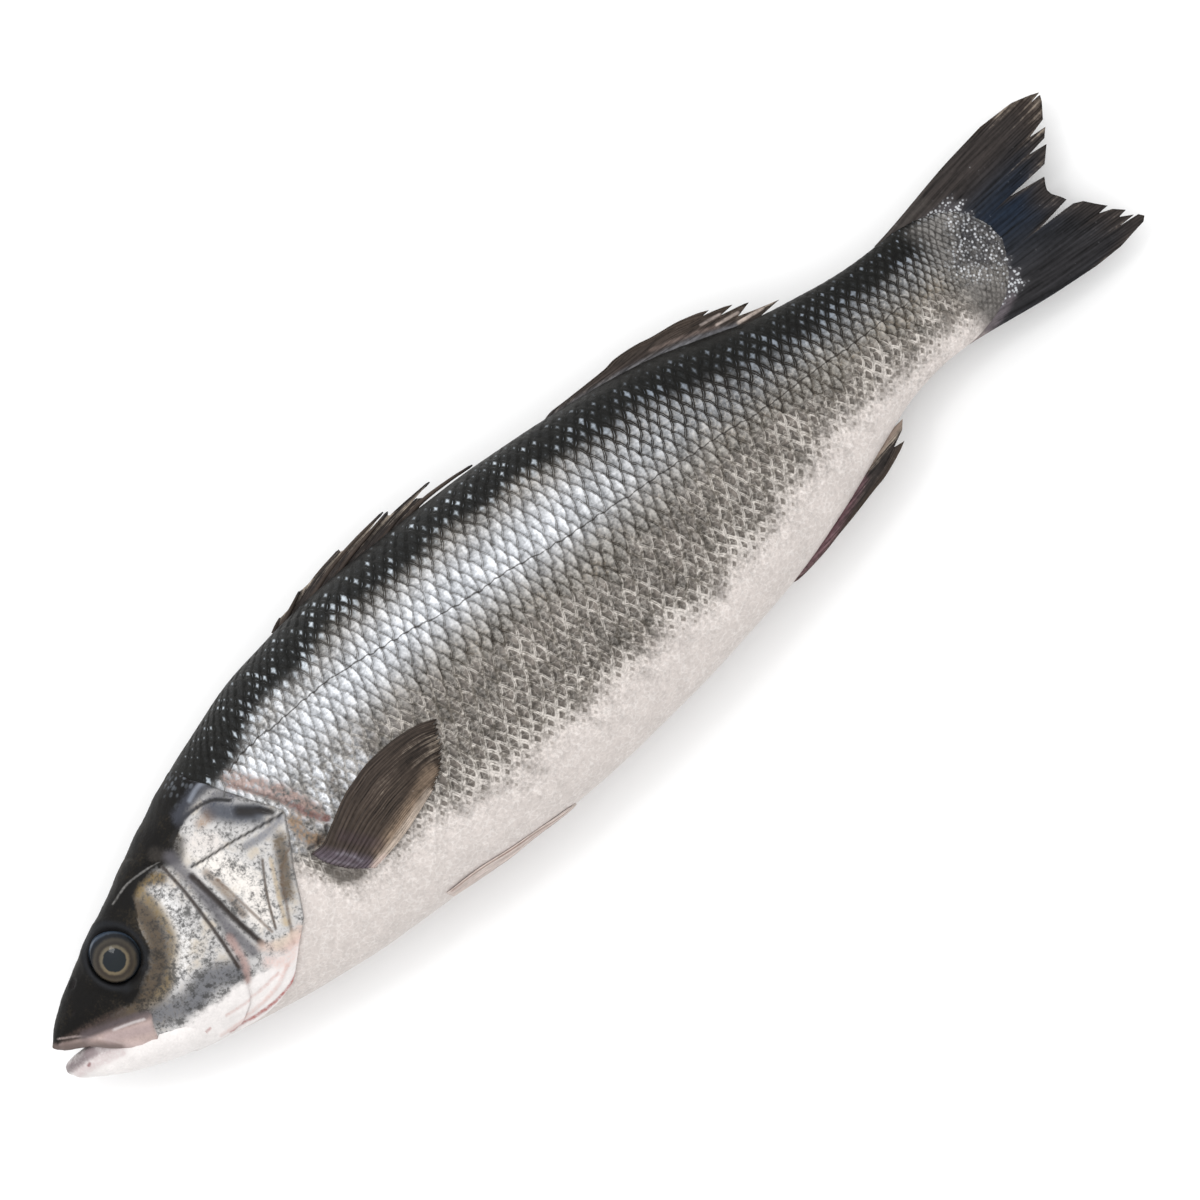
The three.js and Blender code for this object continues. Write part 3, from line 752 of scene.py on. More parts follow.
head = {
    "nose": -223.1,
    "rows": 240,
    "columns": 151,
    "preShare": 0.52,
    "preEdge": [(-168.3, 23.4), (-161.8, 17.3), (-157, 15), (-155.7, 9.2), (-156, -0.6), (-156, -10.3),
                (-157.3, -20.1), (-159.6, -29.8), (-163.5, -36.3)],
    "preThroat": [(-174, -72), (-183, -76), (-192, -83), (-197, -90)],
    "lip": [(-224.9, -6.5), (-223, -7.7), (-222.3, -9), (-220.3, -10.3), (-215.5, -12.9),
            (-212.9, -14.5), (-208.7, -19.4), (-204.1, -23.3), (-199.9, -26.6), (-196, -28.8),
            (-192.7, -32.4), (-187.8, -38.3)],
    "cheekRise": 1.2,
    "preStep": 0.8,
    "preGroove": 0.45,
    "coverRise": 1.5,
    "coverCurl": 2.2,
    "eye": (-187.2, 2.05),
    "eyeReach": (8.9, 9.5),
    "orbitDepth": 5.0,
    "browRise": 0.7,
    "maxilla": [(-220.3, -7.7), (-215.5, -9.7), (-210.6, -11.9), (-200.8, -14.9), (-190.5, -18.4),
                (-191.8, -22.7), (-193.7, -27.2), (-196, -28.5), (-204.1, -23.3), (-208.7, -19.4),
                (-212.9, -14.9), (-217.1, -12.3), (-221, -10)],
    "maxillaRise": 1.1,
    "maxillaShare": 0.85,
    "maxillaColour": (196, 174, 168),
    # lower edge of the dark crown and upper edge of the pale throat
    "crown": [(-224, -9), (-214.6, -10), (-207, -11.4), (-201, -12), (-194, -12), (-188, -10.7),
              (-181.4, -8.4), (-177, -3), (-174.5, 5), (-170.6, 13), (-166, 15.6), (-158, 15.6),
              (-152, 14.5), (-147, 18), (-141, 23.5), (-136, 25), (-123, 28)],
    "throat": [(-224, -20), (-215, -25), (-200, -28), (-189, -28.2), (-171, -29.8), (-150, -31.4),
               (-120, -31)],
    # broad tones under the speckle: path, half width, colour, strength
    "tones": [
        ([(-175, 14), (-171, 7), (-173.5, -3), (-180.5, -10.5), (-196, -15), (-210, -12.6)],
         4.8, (84, 72, 58), 0.88),
        ([(-167.5, 13), (-166, 5), (-168.5, -6), (-178, -15), (-192, -18.6)], 1.9, (136, 118, 86), 0.6),
        ([(-171, 15), (-164, 14.5), (-159, 12)], 2.4, (122, 102, 66), 0.8),
        ([(-162, 7), (-163.5, -2), (-166.5, -9), (-174, -15)], 2.6, (234, 233, 233), 0.55),
        ([(-189, -21), (-178, -24.5), (-168, -23), (-160, -26.5)], 4.2, (116, 117, 122), 0.8),
        ([(-143, 5), (-140, -2), (-139, -9), (-141, -18)], 5.0, (242, 236, 230), 0.75),
        ([(-146, 14), (-140, 10)], 4.0, (226, 222, 220), 0.6),
        ([(-121, -3), (-126, -11), (-131, -18)], 2.6, (104, 92, 78), 0.8),
        ([(-146.5, 4), (-146, -4), (-146, -14)], 1.4, (118, 100, 84), 0.6),
        ([(-134, 19), (-128, 20), (-122, 17)], 2.4, (84, 84, 92), 0.7),
    ],
    # strokes on each side of the head: path, half width, colour, strength and how far they stand proud
    "strokes": {
        "snoutEdge": ([(-218, -8.2), (-206, -10.6), (-197, -13)], 1.5, (72, 60, 55), 0.6, 0),
        "snoutSide": ([(-222, -9), (-214, -12.2)], 0.9, (112, 98, 92), 0.7, 0),
        "coverTop": ([(-156, 19), (-151, 14), (-147, 17)], 2.4, (54, 50, 47), 0.75, 0),
        # painted sheen: a pale streak along the top of the head
        "browSheen": ([(-177, 15), (-168, 16.9), (-157, 16.4)], 0.35, (130, 128, 126), 0.6, 0.15),
        "preEdge": ([(-156.4, 14), (-155.9, 2), (-156.8, -14), (-158.5, -26)],
                    0.7, (56, 48, 44), 0.85, -0.3),
        "coverBand": ([(-152.6, 15), (-152, 5), (-152, -5), (-152.5, -15), (-151.5, -25)],
                      2.2, (96, 94, 100), 0.7, 0),
        "coverFlesh": ([(-154.5, -17), (-156, -26), (-159, -31)], 1.4, (184, 156, 150), 0.7, 0.2),
        "groove": ([(-151, 6), (-149.8, -4), (-149, -14), (-147.6, -25)], 1.0, (46, 38, 35), 0.9, -0.6),
        "grooveHair": ([(-145.2, 0), (-143.8, -12), (-142.6, -24)], 0.6, (112, 94, 80), 0.6, -0.3),
        "lowerFlesh": ([(-148, -26), (-142, -30), (-135, -29)], 1.8, (214, 190, 178), 0.6, 0),
        "pearl": ([(-143, 13), (-138, 10)], 3.4, (226, 218, 212), 0.5, 0.2),
        "pearlTop": ([(-138, 17), (-133.5, 17)], 2.0, (150, 122, 98), 0.5, 0),
        "blueSkin": ([(-131, 17), (-126.5, 12), (-121.5, 8)], 3.6, (74, 78, 88), 0.85, 0),
        "upperRim": ([(-149, 19), (-141, 21.6), (-131, 20.6), (-125.5, 16.5)],
                     0.6, (34, 32, 32), 0.85, -0.4),
        "scapula": ([(-142, 23), (-133, 25), (-125, 24.6)], 2.6, (62, 64, 72), 0.85, 0.3),
        # painted highlight along the scapula
        "scapulaGleam": ([(-136, 24.4), (-131, 26), (-127, 25.6)], 0.7, (150, 156, 168), 0.6, 0.2),
        "holeOne": ([(-125.5, 12), (-122.5, 9.5)], 1.7, (30, 26, 24), 0.9, -0.7),
        "holeTwo": ([(-120.5, 8.5), (-117.5, 5.2)], 1.2, (34, 29, 27), 0.9, -0.6),
        "creaseBelow": ([(-131, 2.2), (-124, 1.2), (-117, 1.8)], 1.5, (122, 124, 132), 0.7, 0.1),
        "crease": ([(-149, 8.4), (-142, 7.2), (-134, 6.2), (-126, 4.6), (-114.5, 2.6)],
                   0.5, (34, 30, 28), 0.9, -0.5),
        "goldBand": ([(-127.5, -6), (-133, -16), (-137.5, -25)], 0.8, (196, 176, 146), 0.6, 0.15),
        "goldEdge": ([(-129.5, -4), (-136, -14), (-141, -24)], 0.5, (84, 70, 58), 0.75, -0.3),
        "lowerCurve": ([(-118.5, -5.5), (-127, -11), (-133, -20), (-139.5, -31)],
                       0.6, (104, 88, 74), 0.6, -0.2),
        "whiteFlesh": ([(-144, -28), (-137.5, -29.5)], 1.6, (228, 212, 196), 0.7, 0.1),
        "throatLine": ([(-172, -35), (-160, -36.2), (-150, -35.4)], 0.6, (210, 168, 160), 0.45, -0.15),
        "throatFold": ([(-178, -38.6), (-166, -39.6), (-154, -38.4), (-146, -35)],
                       0.7, (222, 186, 178), 0.5, 0.25),
        "throatBlush": ([(-150, -31), (-145, -33.5), (-138, -31)], 2.4, (226, 196, 188), 0.5, 0),
        "throatMark": ([(-184, -35.2), (-179, -34.8)], 0.5, (176, 112, 108), 0.6, -0.1),
        "gillRed": ([(-136, -31), (-141, -35.3), (-146.5, -39.2), (-155.3, -41.2), (-165, -41.2),
                     (-175, -39.8)],
                    0.5, (172, 92, 86), 0.65, -0.1),
        "lipBand": ([(-222.8, -8), (-215, -12.4), (-208, -18.4), (-203.4, -22.6)],
                    1.5, (112, 98, 94), 0.85, 0.3),
        # painted highlight: a pale line along the seam between lip and maxilla
        "lipSeamHighlight": ([(-220, -6.2), (-213, -10.5), (-207.5, -16), (-203.6, -20.5)],
                    0.35, (196, 180, 176), 0.4, 0.15),
        "jawTop": ([(-212, -11), (-203, -14.2), (-196, -16.8), (-191.5, -18.6)],
                   1.5, (88, 78, 80), 0.85, 0),
        "jawMiddle": ([(-206, -16.4), (-199, -19.8), (-194, -22)], 1.6, (176, 158, 158), 0.6, 0),
        "jawLow": ([(-203, -22), (-199, -25), (-196, -27)], 1.5, (222, 200, 196), 0.6, 0),
        # painted highlight along the maxilla's upper edge
        "jawGleam": ([(-203, -15.7), (-197, -17.6), (-193, -19.2)], 0.4, (236, 230, 230), 0.5, 0.1),
        "nostrilRear": ([(-204.8, 3.9), (-203.4, 4.9)], 0.8, (28, 25, 25), 0.9, -0.9),
        "nostrilFront": ([(-210.4, -3.5), (-209.6, -2.8)], 0.55, (30, 27, 27), 0.9, -0.6),
    },
}
lipAt = smoothLine(head["lip"])
preAngles, preXs = edgeOverAngle(head["preEdge"], head["preThroat"])


def headBottomAt(x):
    return np.where(x < -187.8, lipAt(x), bellyAt(x))


def headLevelAt(x):
    lip = lipAt(x)
    return np.where(x < -187.8, np.maximum(levelAt(x), lip + 0.3 * (backAt(x) - lip)), levelAt(x))


def mouthPower(x):
    # boxier beside the mouth, so that the lip hangs straight down
    return body["roundness"] + 1.6 * (1 - ease(x, -205, -186))


headForm = Section(backAt, headBottomAt, headLevelAt, halfWidthAt, browPower, mouthPower)


def headFlank(rows, columns, side):
    # one flank of the head: rows run from the nose to the gill edge, columns from the throat to the nape
    along = np.linspace(0, 1, rows)[:, None]
    angle = np.linspace(-quarterTurn, quarterTurn, columns)[None, :]
    pre = np.interp(angle, preAngles, preXs)
    gill = gillAt(angle)
    share = head["preShare"]
    front = head["nose"] + (pre - head["nose"]) * np.minimum(along / share, 1) ** 0.94
    x = np.where(along <= share, front, pre + (gill - pre) * (along - share) / (1 - share))
    angle = angle + 0 * x
    y, _ = headForm.place(x, angle)

    # cheek, step at the cover's front edge, cover bulging to its rear edge, and the edge curling in
    lowPart = ease(angle, -1.5, -1.1)
    topPart = ease(quarterTurn - angle, 0.15, 0.75)
    step = head["preStep"] * ease(along, share, share + 0.035)
    cheek = head["cheekRise"] * ease(along, 0.1, 0.42) - step
    cover = (head["coverRise"] - head["cheekRise"] + head["preStep"]) * ease(along, share + 0.04, 0.96)
    lift = (cheek + cover) * (0.25 + 0.75 * lowPart) * (0.2 + 0.8 * topPart)
    lift = lift - head["preGroove"] * bell(along, share + 0.03, 0.012) * lowPart * topPart
    lift = lift - (head["coverCurl"] + lift) * ease(along, 0.972, 1) ** 2
    lift = lift + ripple(x, y, 9, 21) * 0.12 + ripple(x, y, 3, 22) * 0.05

    eyeX, eyeY = head["eye"]
    reachX, reachY = head["eyeReach"]
    radius = np.hypot((x - eyeX) / reachX, (y - eyeY) / reachY)
    socket = 1 - ease(radius, 0.86, 1.04)
    lift = lift + head["browRise"] * bell(radius, 1.2, 0.14) - head["orbitDepth"] * socket

    inMaxilla = insideDistance(x, y, curvedPath(head["maxilla"], True, 4))
    lift = lift + head["maxillaRise"] * ease(inMaxilla, -0.4, 1.2) * lowPart
    wash = Wash(x, y)
    wash.cover(ease(inMaxilla, -0.2, 1.0) * head["maxillaShare"], head["maxillaColour"])
    wash.strokes(head["strokes"].values())
    tone = Wash(x, y).strokes(head["tones"])
    points = headForm.skin(x, angle, lift + wash.lift, side)
    return points, x, y, angle, along + 0 * x, radius, wash, tone


def headColours(x, y, angle, along, radius, wash, tone):
    patches = ripple(x, y, 14, 23)
    top = ease(y - brokenLine(x, head["crown"]) + patches * 0.8, -4.5, 3)
    pale = ease(brokenLine(x, head["throat"]) - y + patches * 0.8, -3, 3)
    inside = ease(-angle, 1.42, 1.52) * (1 - ease(x, -196, -188))
    edge = bell(along, 1, 0.014) * ease(y, -36, -24)
    ring = bell(radius, 1.1, 0.1)
    return {
        "zones": np.stack([top, pale, inside], -1),
        "marks": np.stack([edge, ring, wash.share], -1),
        "wash": wash.colour,
        "tone": tone.colour,
        "toneShare": np.stack([tone.share, ease(along, head["preShare"], head["preShare"] + 0.1),
                               top * ease(x, -150, -128)], -1),
    }


def aroundSection(left, right):
    # once round the section: up the left flank, down the right one, the two ridges used once
    return np.concatenate([left, right[:, -2:0:-1]], axis=1).reshape(-1, 3)


def headSkin(material):
    rows, columns = head["rows"], head["columns"]
    left = headFlank(rows, columns, 1)
    right = headFlank(rows, columns, -1)
    ring = 2 * (columns - 1)
    points = aroundSection(left[0], right[0])
    leftValues, rightValues = headColours(*left[1:]), headColours(*right[1:])
    values = {label: aroundSection(a, rightValues[label]) for label, a in leftValues.items()}
    quads = gridFaces(rows, ring, wrap=True)[:, ::-1]
    nose = points[:ring].mean(axis=0) - np.array([0.5, 0, 0])
    inner = points[-ring:].mean(axis=0)
    points = np.vstack([points, nose])
    values = {label: np.vstack([a, a[:ring].mean(axis=0)]) for label, a in values.items()}
    cap = fanFaces(np.arange(ring), rows * ring)
    points, values, wall = hiddenWall(points, values, inner, quads, cap)
    return makePiece("head", points, quads, np.vstack([cap, wall]), values, material, "skin", ["fish"])


jaw = {
    "top": [(-224.9, -16.2), (-224.2, -14.9), (-222, -14.2), (-217.1, -14.2), (-212.9, -14.5),
            (-200.8, -18.1), (-187.8, -23.3), (-176, -29), (-166, -35)],
    "bottom": [(-224.9, -17.4), (-224, -19.2), (-222.9, -20.7), (-217.1, -24.9), (-208.6, -30.1),
               (-193, -36.6), (-184, -39.2), (-174.8, -40.6), (-166, -40.6)],
    "width": 0.86,
    "roundness": 2.8,
    "front": -224.9,
    "length": 58.9,
    "lipRise": 0.5,
    "foldDepth": 0.4,
    "rows": 150,
    "columns": 91,
    "strokes": {
        "tip": ([(-224.5, -16), (-220, -16.4), (-214, -16.6)], 1.8, (124, 112, 114), 0.8),
        "upper": ([(-214, -16.6), (-207, -18.6), (-199, -21.6)], 2.2, (158, 144, 146), 0.7),
        "blush": ([(-222, -19.4), (-214, -20.6), (-206, -22.6)], 2.0, (206, 190, 190), 0.6),
        "spot": ([(-217.6, -19.4), (-217, -19.2)], 0.5, (130, 84, 84), 0.7),
        "rim": ([(-221.5, -22.6), (-217, -26), (-210, -30)], 0.5, (196, 176, 170), 0.5),
    },
}
jawTopAt = smoothLine(jaw["top"])
jawBottomAt = smoothLine(jaw["bottom"])


def jawLevelAt(x):
    return jawBottomAt(x) + 0.6 * (jawTopAt(x) - jawBottomAt(x))


def jawWidthAt(x):
    return jaw["width"] * halfWidthAt(x) * (1 - 0.75 * ease(x, -188, -166))


def jawPower(x):
    return np.full(np.shape(x), jaw["roundness"])


jawForm = Section(jawTopAt, jawBottomAt, jawLevelAt, jawWidthAt, jawPower, plainPower)


def lowerJaw(material):
    rows, columns = jaw["rows"], jaw["columns"]
    share = np.linspace(0, 1, rows)[:, None]
    x = jaw["front"] + jaw["length"] * share ** 1.5
    angle = np.linspace(-quarterTurn, quarterTurn, columns)[None, :]
    x, angle = x + 0 * angle, angle + 0 * x
    y, _ = jawForm.place(x, angle)
    lift = ripple(x, y, 7, 31) * 0.1
    # a lip along the top, and the fold that runs under it
    down = jawTopAt(x) - y
    lift = lift + jaw["lipRise"] * bell(down, 1.2, 1.3) - jaw["foldDepth"] * bell(down, 4.2, 1.0)
    lift = lift * ease(share, 0, 0.1)
    sides = [jawForm.skin(x, angle, lift, side) for side in (1, -1)]
    ring = 2 * (columns - 1)
    points = aroundSection(*sides)
    inside = ease(angle, 1.25, 1.45) * ease(x, -223.5, -221)
    wash = Wash(x, y).strokes(jaw["strokes"].values())
    zero = np.zeros(x.shape)
    fields = {
        "zones": np.stack([zero, 1 + zero, inside], -1),
        "marks": np.stack([zero, zero, wash.share], -1),
        "wash": wash.colour,
        "tone": np.zeros(x.shape + (3,)),
        "toneShare": np.zeros(x.shape + (3,)),
    }
    values = {label: aroundSection(a, a) for label, a in fields.items()}
    tip = points[:ring].mean(axis=0)
    rear = points[-ring:].mean(axis=0)
    points = np.vstack([points, tip, rear])
    values = {label: np.vstack([a, a[:1], a[-1:]]) for label, a in values.items()}
    caps = np.vstack([fanFaces(np.arange(ring), rows * ring),
                      fanFaces(np.arange(ring) + (rows - 1) * ring, rows * ring + 1, turned=True)])
    quads = gridFaces(rows, ring, wrap=True)[:, ::-1]
    return makePiece("lower_jaw", points, quads, caps, values, material, "skin", ["fish"])


def headMaterial():
    # speckled silver cheeks, dark crown and pale throat, under the strokes laid on the mesh
    s = Shader("head_skin", Specular_IOR_Level=0.12, Coat_Roughness=0.1)
    top, pale, inside = s.triple("zones")
    edge, ring, washShare = s.triple("marks")
    place = s.place()
    fine = s.noise(place, 0.0009, 3, 0.7) - 0.5
    medium = s.noise(place, 0.0026, 3, 0.6) - 0.5
    blotch = s.noise(place, 0.009, 2, 0.5) - 0.5
    tone = s.vector("tone")
    toneShare, cover, nape = s.triple("toneShare")
    speckle = s.step(fine * 0.9 + medium + blotch * 0.4 + cover * 0.09, -0.2, 0.16)
    base = s.mix(s.step(blotch + medium * 0.5, 0.0, 0.3) * 0.5, paint(206, 204, 203), paint(192, 172, 138))
    toneShare = toneShare + (fine + medium * 0.7) * toneShare * (1 - toneShare) * 5
    base = s.mix(s.step(toneShare, 0.0, 1.0), base, tone)
    colour = s.shaded(base, 0.24 + speckle * 0.78)
    colour = s.mix(s.step(pale + medium * 0.7, 0.15, 0.85), colour, paint(248, 243, 241))
    crown = s.mix(s.step(fine + blotch, 0.0, 0.4), paint(14, 12, 11), paint(46, 40, 31))
    colour = s.mix(s.step(top + medium * 0.7 + fine * 0.6, 0.3, 0.7), colour, crown)
    # painted glints: pale dots on the dark crown towards the nape, like the scales' glints behind it
    glints = s.beads(place, 0.0024) * s.step(nape + medium, 0.2, 0.9) * 0.7
    colour = s.mix(glints, colour, paint(116, 122, 130))
    wash = s.vector("wash")
    broken = washShare + (fine * 1.6 + medium) * washShare * (1 - washShare) * 2.4
    colour = s.mix(s.step(broken, 0.0, 1.0), colour, wash)
    colour = s.mix(edge * 0.85, colour, paint(52, 44, 40))
    colour = s.mix(ring * 0.8, colour, paint(34, 36, 40))
    colour = s.mix(inside, colour, paint(74, 46, 42))
    shade = 1 + blotch * 0.2 + fine * 0.3 + medium * 0.2
    colour = s.shaded(colour, shade)
    s.feed("Base Color", colour)
    s.feed("Roughness", 0.34 + fine * 0.25 + top * 0.3)
    s.feed("Coat Weight", 0.1 - top * 0.08)
    s.feed("Normal", s.relief(fine + medium, 0.3, 0.0005))
    return s.material


headPaint = headMaterial()
headSkin(headPaint)
lowerJaw(headPaint)
print("head built")


# Eyes: a flat dome on each side, coloured by its distance from the middle

eye = {
    "centre": head["eye"],
    "reach": (8.75, 9.35),
    "depth": 10.6,
    "dome": 6.2,
    "domeFall": 1.5,
    "edgeFall": 2.2,
    "backDepth": 3.0,
    "backDish": 2.0,
    "tilt": 5,
    "pupil": (-188.2, 1.4),
    # each colour takes over between two distances from the pupil's middle, by a share
    # the last band, a light blue-grey ring at the eye's edge, is a painted reflection on the cornea
    "bands": [(3.6, 4.1, 1, (128, 116, 94)), (4.3, 5.4, 1, (58, 50, 42)), (5.4, 6.8, 1, (82, 74, 62)),
              (6.5, 7.8, 1, (18, 23, 30)), (8.2, 9.0, 0.6, (92, 106, 122))],
    "pupilColour": (22, 31, 38),
    "rings": 40,
    "spokes": 96,
}


def eyeDome(side, name, node, material):
    rings, spokes = eye["rings"], eye["spokes"]
    radius = np.linspace(0.02, 1, rings)[:, None]
    turn = np.linspace(0, 2 * math.pi, spokes, endpoint=False)[None, :]
    centreX, centreY = eye["centre"]
    dx = eye["reach"][0] * radius * np.cos(turn)
    dy = eye["reach"][1] * radius * np.sin(turn)
    # dome height falls as radius^2, faster over the last tenth; the whole leans towards the back
    edge = eye["edgeFall"] * ease(radius, 0.86, 1.0) ** 2
    height = eye["dome"] - eye["domeFall"] * radius ** 2 - edge + 0 * turn
    lean = math.radians(eye["tilt"])
    z = eye["depth"] + height - dy * math.sin(lean)
    x, y = centreX + dx, centreY + dy * math.cos(lean) + height * math.sin(lean) * 0.2
    middle = middleAt(centreX)
    front = np.stack([x, y, middle + side * z], -1)
    # the back of the ball closes the dome inside the head
    dish = eye["backDish"] * radius ** 2
    backZ = eye["depth"] - eye["backDepth"] - dy * math.sin(lean) + dish + 0 * turn
    rear = np.stack([x, y, middle + side * backZ], -1)
    points = np.concatenate([front.reshape(-1, 3), rear[::-1].reshape(-1, 3)])
    quads = gridFaces(2 * rings, spokes, wrap=True)
    points = np.vstack([points, front[0].mean(axis=0), rear[0].mean(axis=0)])
    first = fanFaces(np.arange(spokes), 2 * rings * spokes)
    last = fanFaces(np.arange(spokes) + (2 * rings - 1) * spokes, 2 * rings * spokes + 1, turned=True)
    if side < 0:
        first, last = first[:, ::-1], last[:, ::-1]
    else:
        quads = quads[:, ::-1]
    flat = np.hypot(points[:, 0] - eye["pupil"][0], points[:, 1] - eye["pupil"][1])
    bearing = np.arctan2(points[:, 1] - eye["pupil"][1], points[:, 0] - eye["pupil"][0])
    values = {"iris": np.stack([flat, np.sin(bearing), 0 * flat], -1)}
    return makePiece(name, points, quads, np.vstack([first, last]), values, material, "eye", [node])


def eyeMaterial():
    # rings by distance from the pupil's middle in millimetres
    s = Shader("eye", Roughness=0.35, Specular_IOR_Level=0.08, Coat_Weight=0.16, Coat_Roughness=0.03)
    radius, up, _ = s.triple("iris")
    place = s.place()
    fine = s.noise(place, 0.0012, 3, 0.6) - 0.5
    r = radius + fine * 0.8
    colour = paint(*eye["pupilColour"])
    for low, high, share, band in eye["bands"]:
        colour = s.mix(s.step(r, low, high) * share, colour, paint(*band))
    # painted sheen: lighter and warmer below the pupil's middle, bluer above it
    sheen = s.mix(s.step(up, -0.4, 0.6), paint(215, 205, 190), paint(150, 165, 190))
    colour = s.tint(0.5, colour, sheen)
    s.feed("Base Color", colour)
    return s.material


eyePaint = eyeMaterial()
for side, label in flanks:
    eyeDome(side, f"{label}_eyeball", f"{label}_eye", eyePaint)
print("eyes built")


# Fins: thin closed sheets with raised rays, laid out in [x, y] on the middle plane or on a flank

def resample(path, count):
    # points evenly spaced along a path
    path = np.array(path, float)
    lengths = np.concatenate([[0], np.cumsum(np.hypot(*np.diff(path, axis=0).T))])
    at = np.linspace(0, lengths[-1], count)
    return np.stack([np.interp(at, lengths, path[:, k]) for k in (0, 1)], -1)


def patch(root, margin, first, last, rows, columns):
    # Coons patch: the two ruled surfaces between facing borders added, less the one through the corners
    r, m = resample(root, columns)[None], resample(margin, columns)[None]
    a, b = resample(curvedPath(first), rows)[:, None], resample(curvedPath(last), rows)[:, None]
    s = np.linspace(0, 1, rows)[:, None, None]
    t = np.linspace(0, 1, columns)[None, :, None]
    corners = (1 - s) * ((1 - t) * r[:, :1] + t * r[:, -1:]) + s * ((1 - t) * m[:, :1] + t * m[:, -1:])
    return (1 - s) * r + s * m + (1 - t) * a + t * b - corners


def rayRelief(phase, share, splits):
    # rays as |cos|, doubling at each of the splits (shares of the length)
    relief = np.abs(np.cos(math.pi * phase))
    for i, split in enumerate(splits):
        finer = np.abs(np.cos(math.pi * phase * 2 ** (i + 1)))
        relief = relief + (finer - relief) * ease(share, split - 0.08, split + 0.08)
    return relief


def beadsAt(x, y):
    # pale beads go on from the trunk over the root of the tail fin, up to a wavy line across it
    across = 1 - ease(np.abs(y + 1.7), 17, 20.5)
    return ease(x, 158, 166) * (1 - ease(x + 1.2 * np.sin(y * 1.3), 178, 183)) * across


def shapePatch(shape):
    return patch(shape["root"], shape["margin"], shape["front"], shape["rear"], *shape["grid"])


def finValues(phase, share, relief, hues, wash, beads):
    # what the fins' colours need at each point
    return {
        "ray": np.stack([phase, share, relief], -1),
        "hues": hues,
        "wash": wash.colour,
        "cover": np.stack([wash.share, beads, 0 * share], -1),
    }


def standingFin(name, plan, shape, material, colours):
    # a fin on the middle plane: half thickness runs from thick[0] at the root to thick[1] at the margin
    rays, thick = shape["rays"], shape["thick"]
    rows, columns = plan.shape[:2]
    share = np.linspace(0, 1, rows)[:, None] + np.zeros((1, columns))
    phase = np.linspace(0, rays, columns)[None, :] + np.zeros((rows, 1))
    relief = rayRelief(phase, share, shape["splits"])
    half = thick[0] + (thick[1] - thick[0]) * share ** 0.7 + shape["swell"] * (1 - ease(share, 0, 0.35))
    border = np.minimum(ease(phase, 0, rays * 0.03), ease(rays - phase, 0, rays * 0.03))
    half = half * (0.5 + 0.5 * border) * (0.72 + 0.28 * relief)
    x, y = plan[..., 0], plan[..., 1]
    bow = ripple(x, y, 30, 41) * 0.35 * share
    upper = np.stack([x, y, middleAt(x) + bow + half], -1)
    lower = np.stack([x, y, middleAt(x) + bow - half], -1)
    wash = Wash(x, y).strokes(shape["washes"])
    values = finValues(phase, share, relief, colours(share, phase / rays), wash, beadsAt(x, y))
    return sheetPiece(name, upper, lower, values, material=material, slot="fin", replaced=["fish"])


def finMaterial():
    # dark slate membrane; brown, pale and blue shares come from the mesh, streaks run along the rays
    s = Shader("fins", Specular_IOR_Level=0.1)
    phase, share, relief = s.triple("ray")
    brown, pale, blue = s.triple("hues")
    along = s.node("ShaderNodeCombineXYZ", None, {0: phase * 2.4, 1: share * 3, 2: 0.0})
    streak = s.noise(along, 1.0, 3, 0.6) - 0.5
    fine = s.noise(s.place(), 0.0015, 3, 0.6) - 0.5
    colour = s.mix(blue, paint(40, 41, 45), paint(25, 38, 55))
    colour = s.mix(brown, colour, paint(76, 65, 57))
    colour = s.mix(s.step(pale + streak * 1.1 + fine * 0.4, 0.3, 0.9), colour, paint(178, 165, 150))
    wash = s.vector("wash")
    washShare, beads, _ = s.triple("cover")
    colour = s.mix(s.step(washShare + (streak * 0.5 + fine) * washShare, 0.0, 1.0), colour, wash)
    # painted shade: darker in the grooves between the raised rays, lighter on them; streaks and fine noise
    # vary the tone
    shade = 1 + (relief * 0.5 + streak * 2.8 + fine * 0.7 - 0.46) * (1 - washShare * 0.55)
    colour = s.shaded(colour, shade)
    colour = s.mix(beads * 0.85, colour, paint(84, 82, 84))
    dots = s.beads(s.place(), 0.0011) * s.step(beads + fine * 0.8, 0.1, 0.5)
    colour = s.mix(dots, colour, paint(206, 208, 212))
    s.feed("Base Color", colour)
    s.feed("Roughness", 0.45 + streak * 0.3)
    return s.material


finPaint = finMaterial()

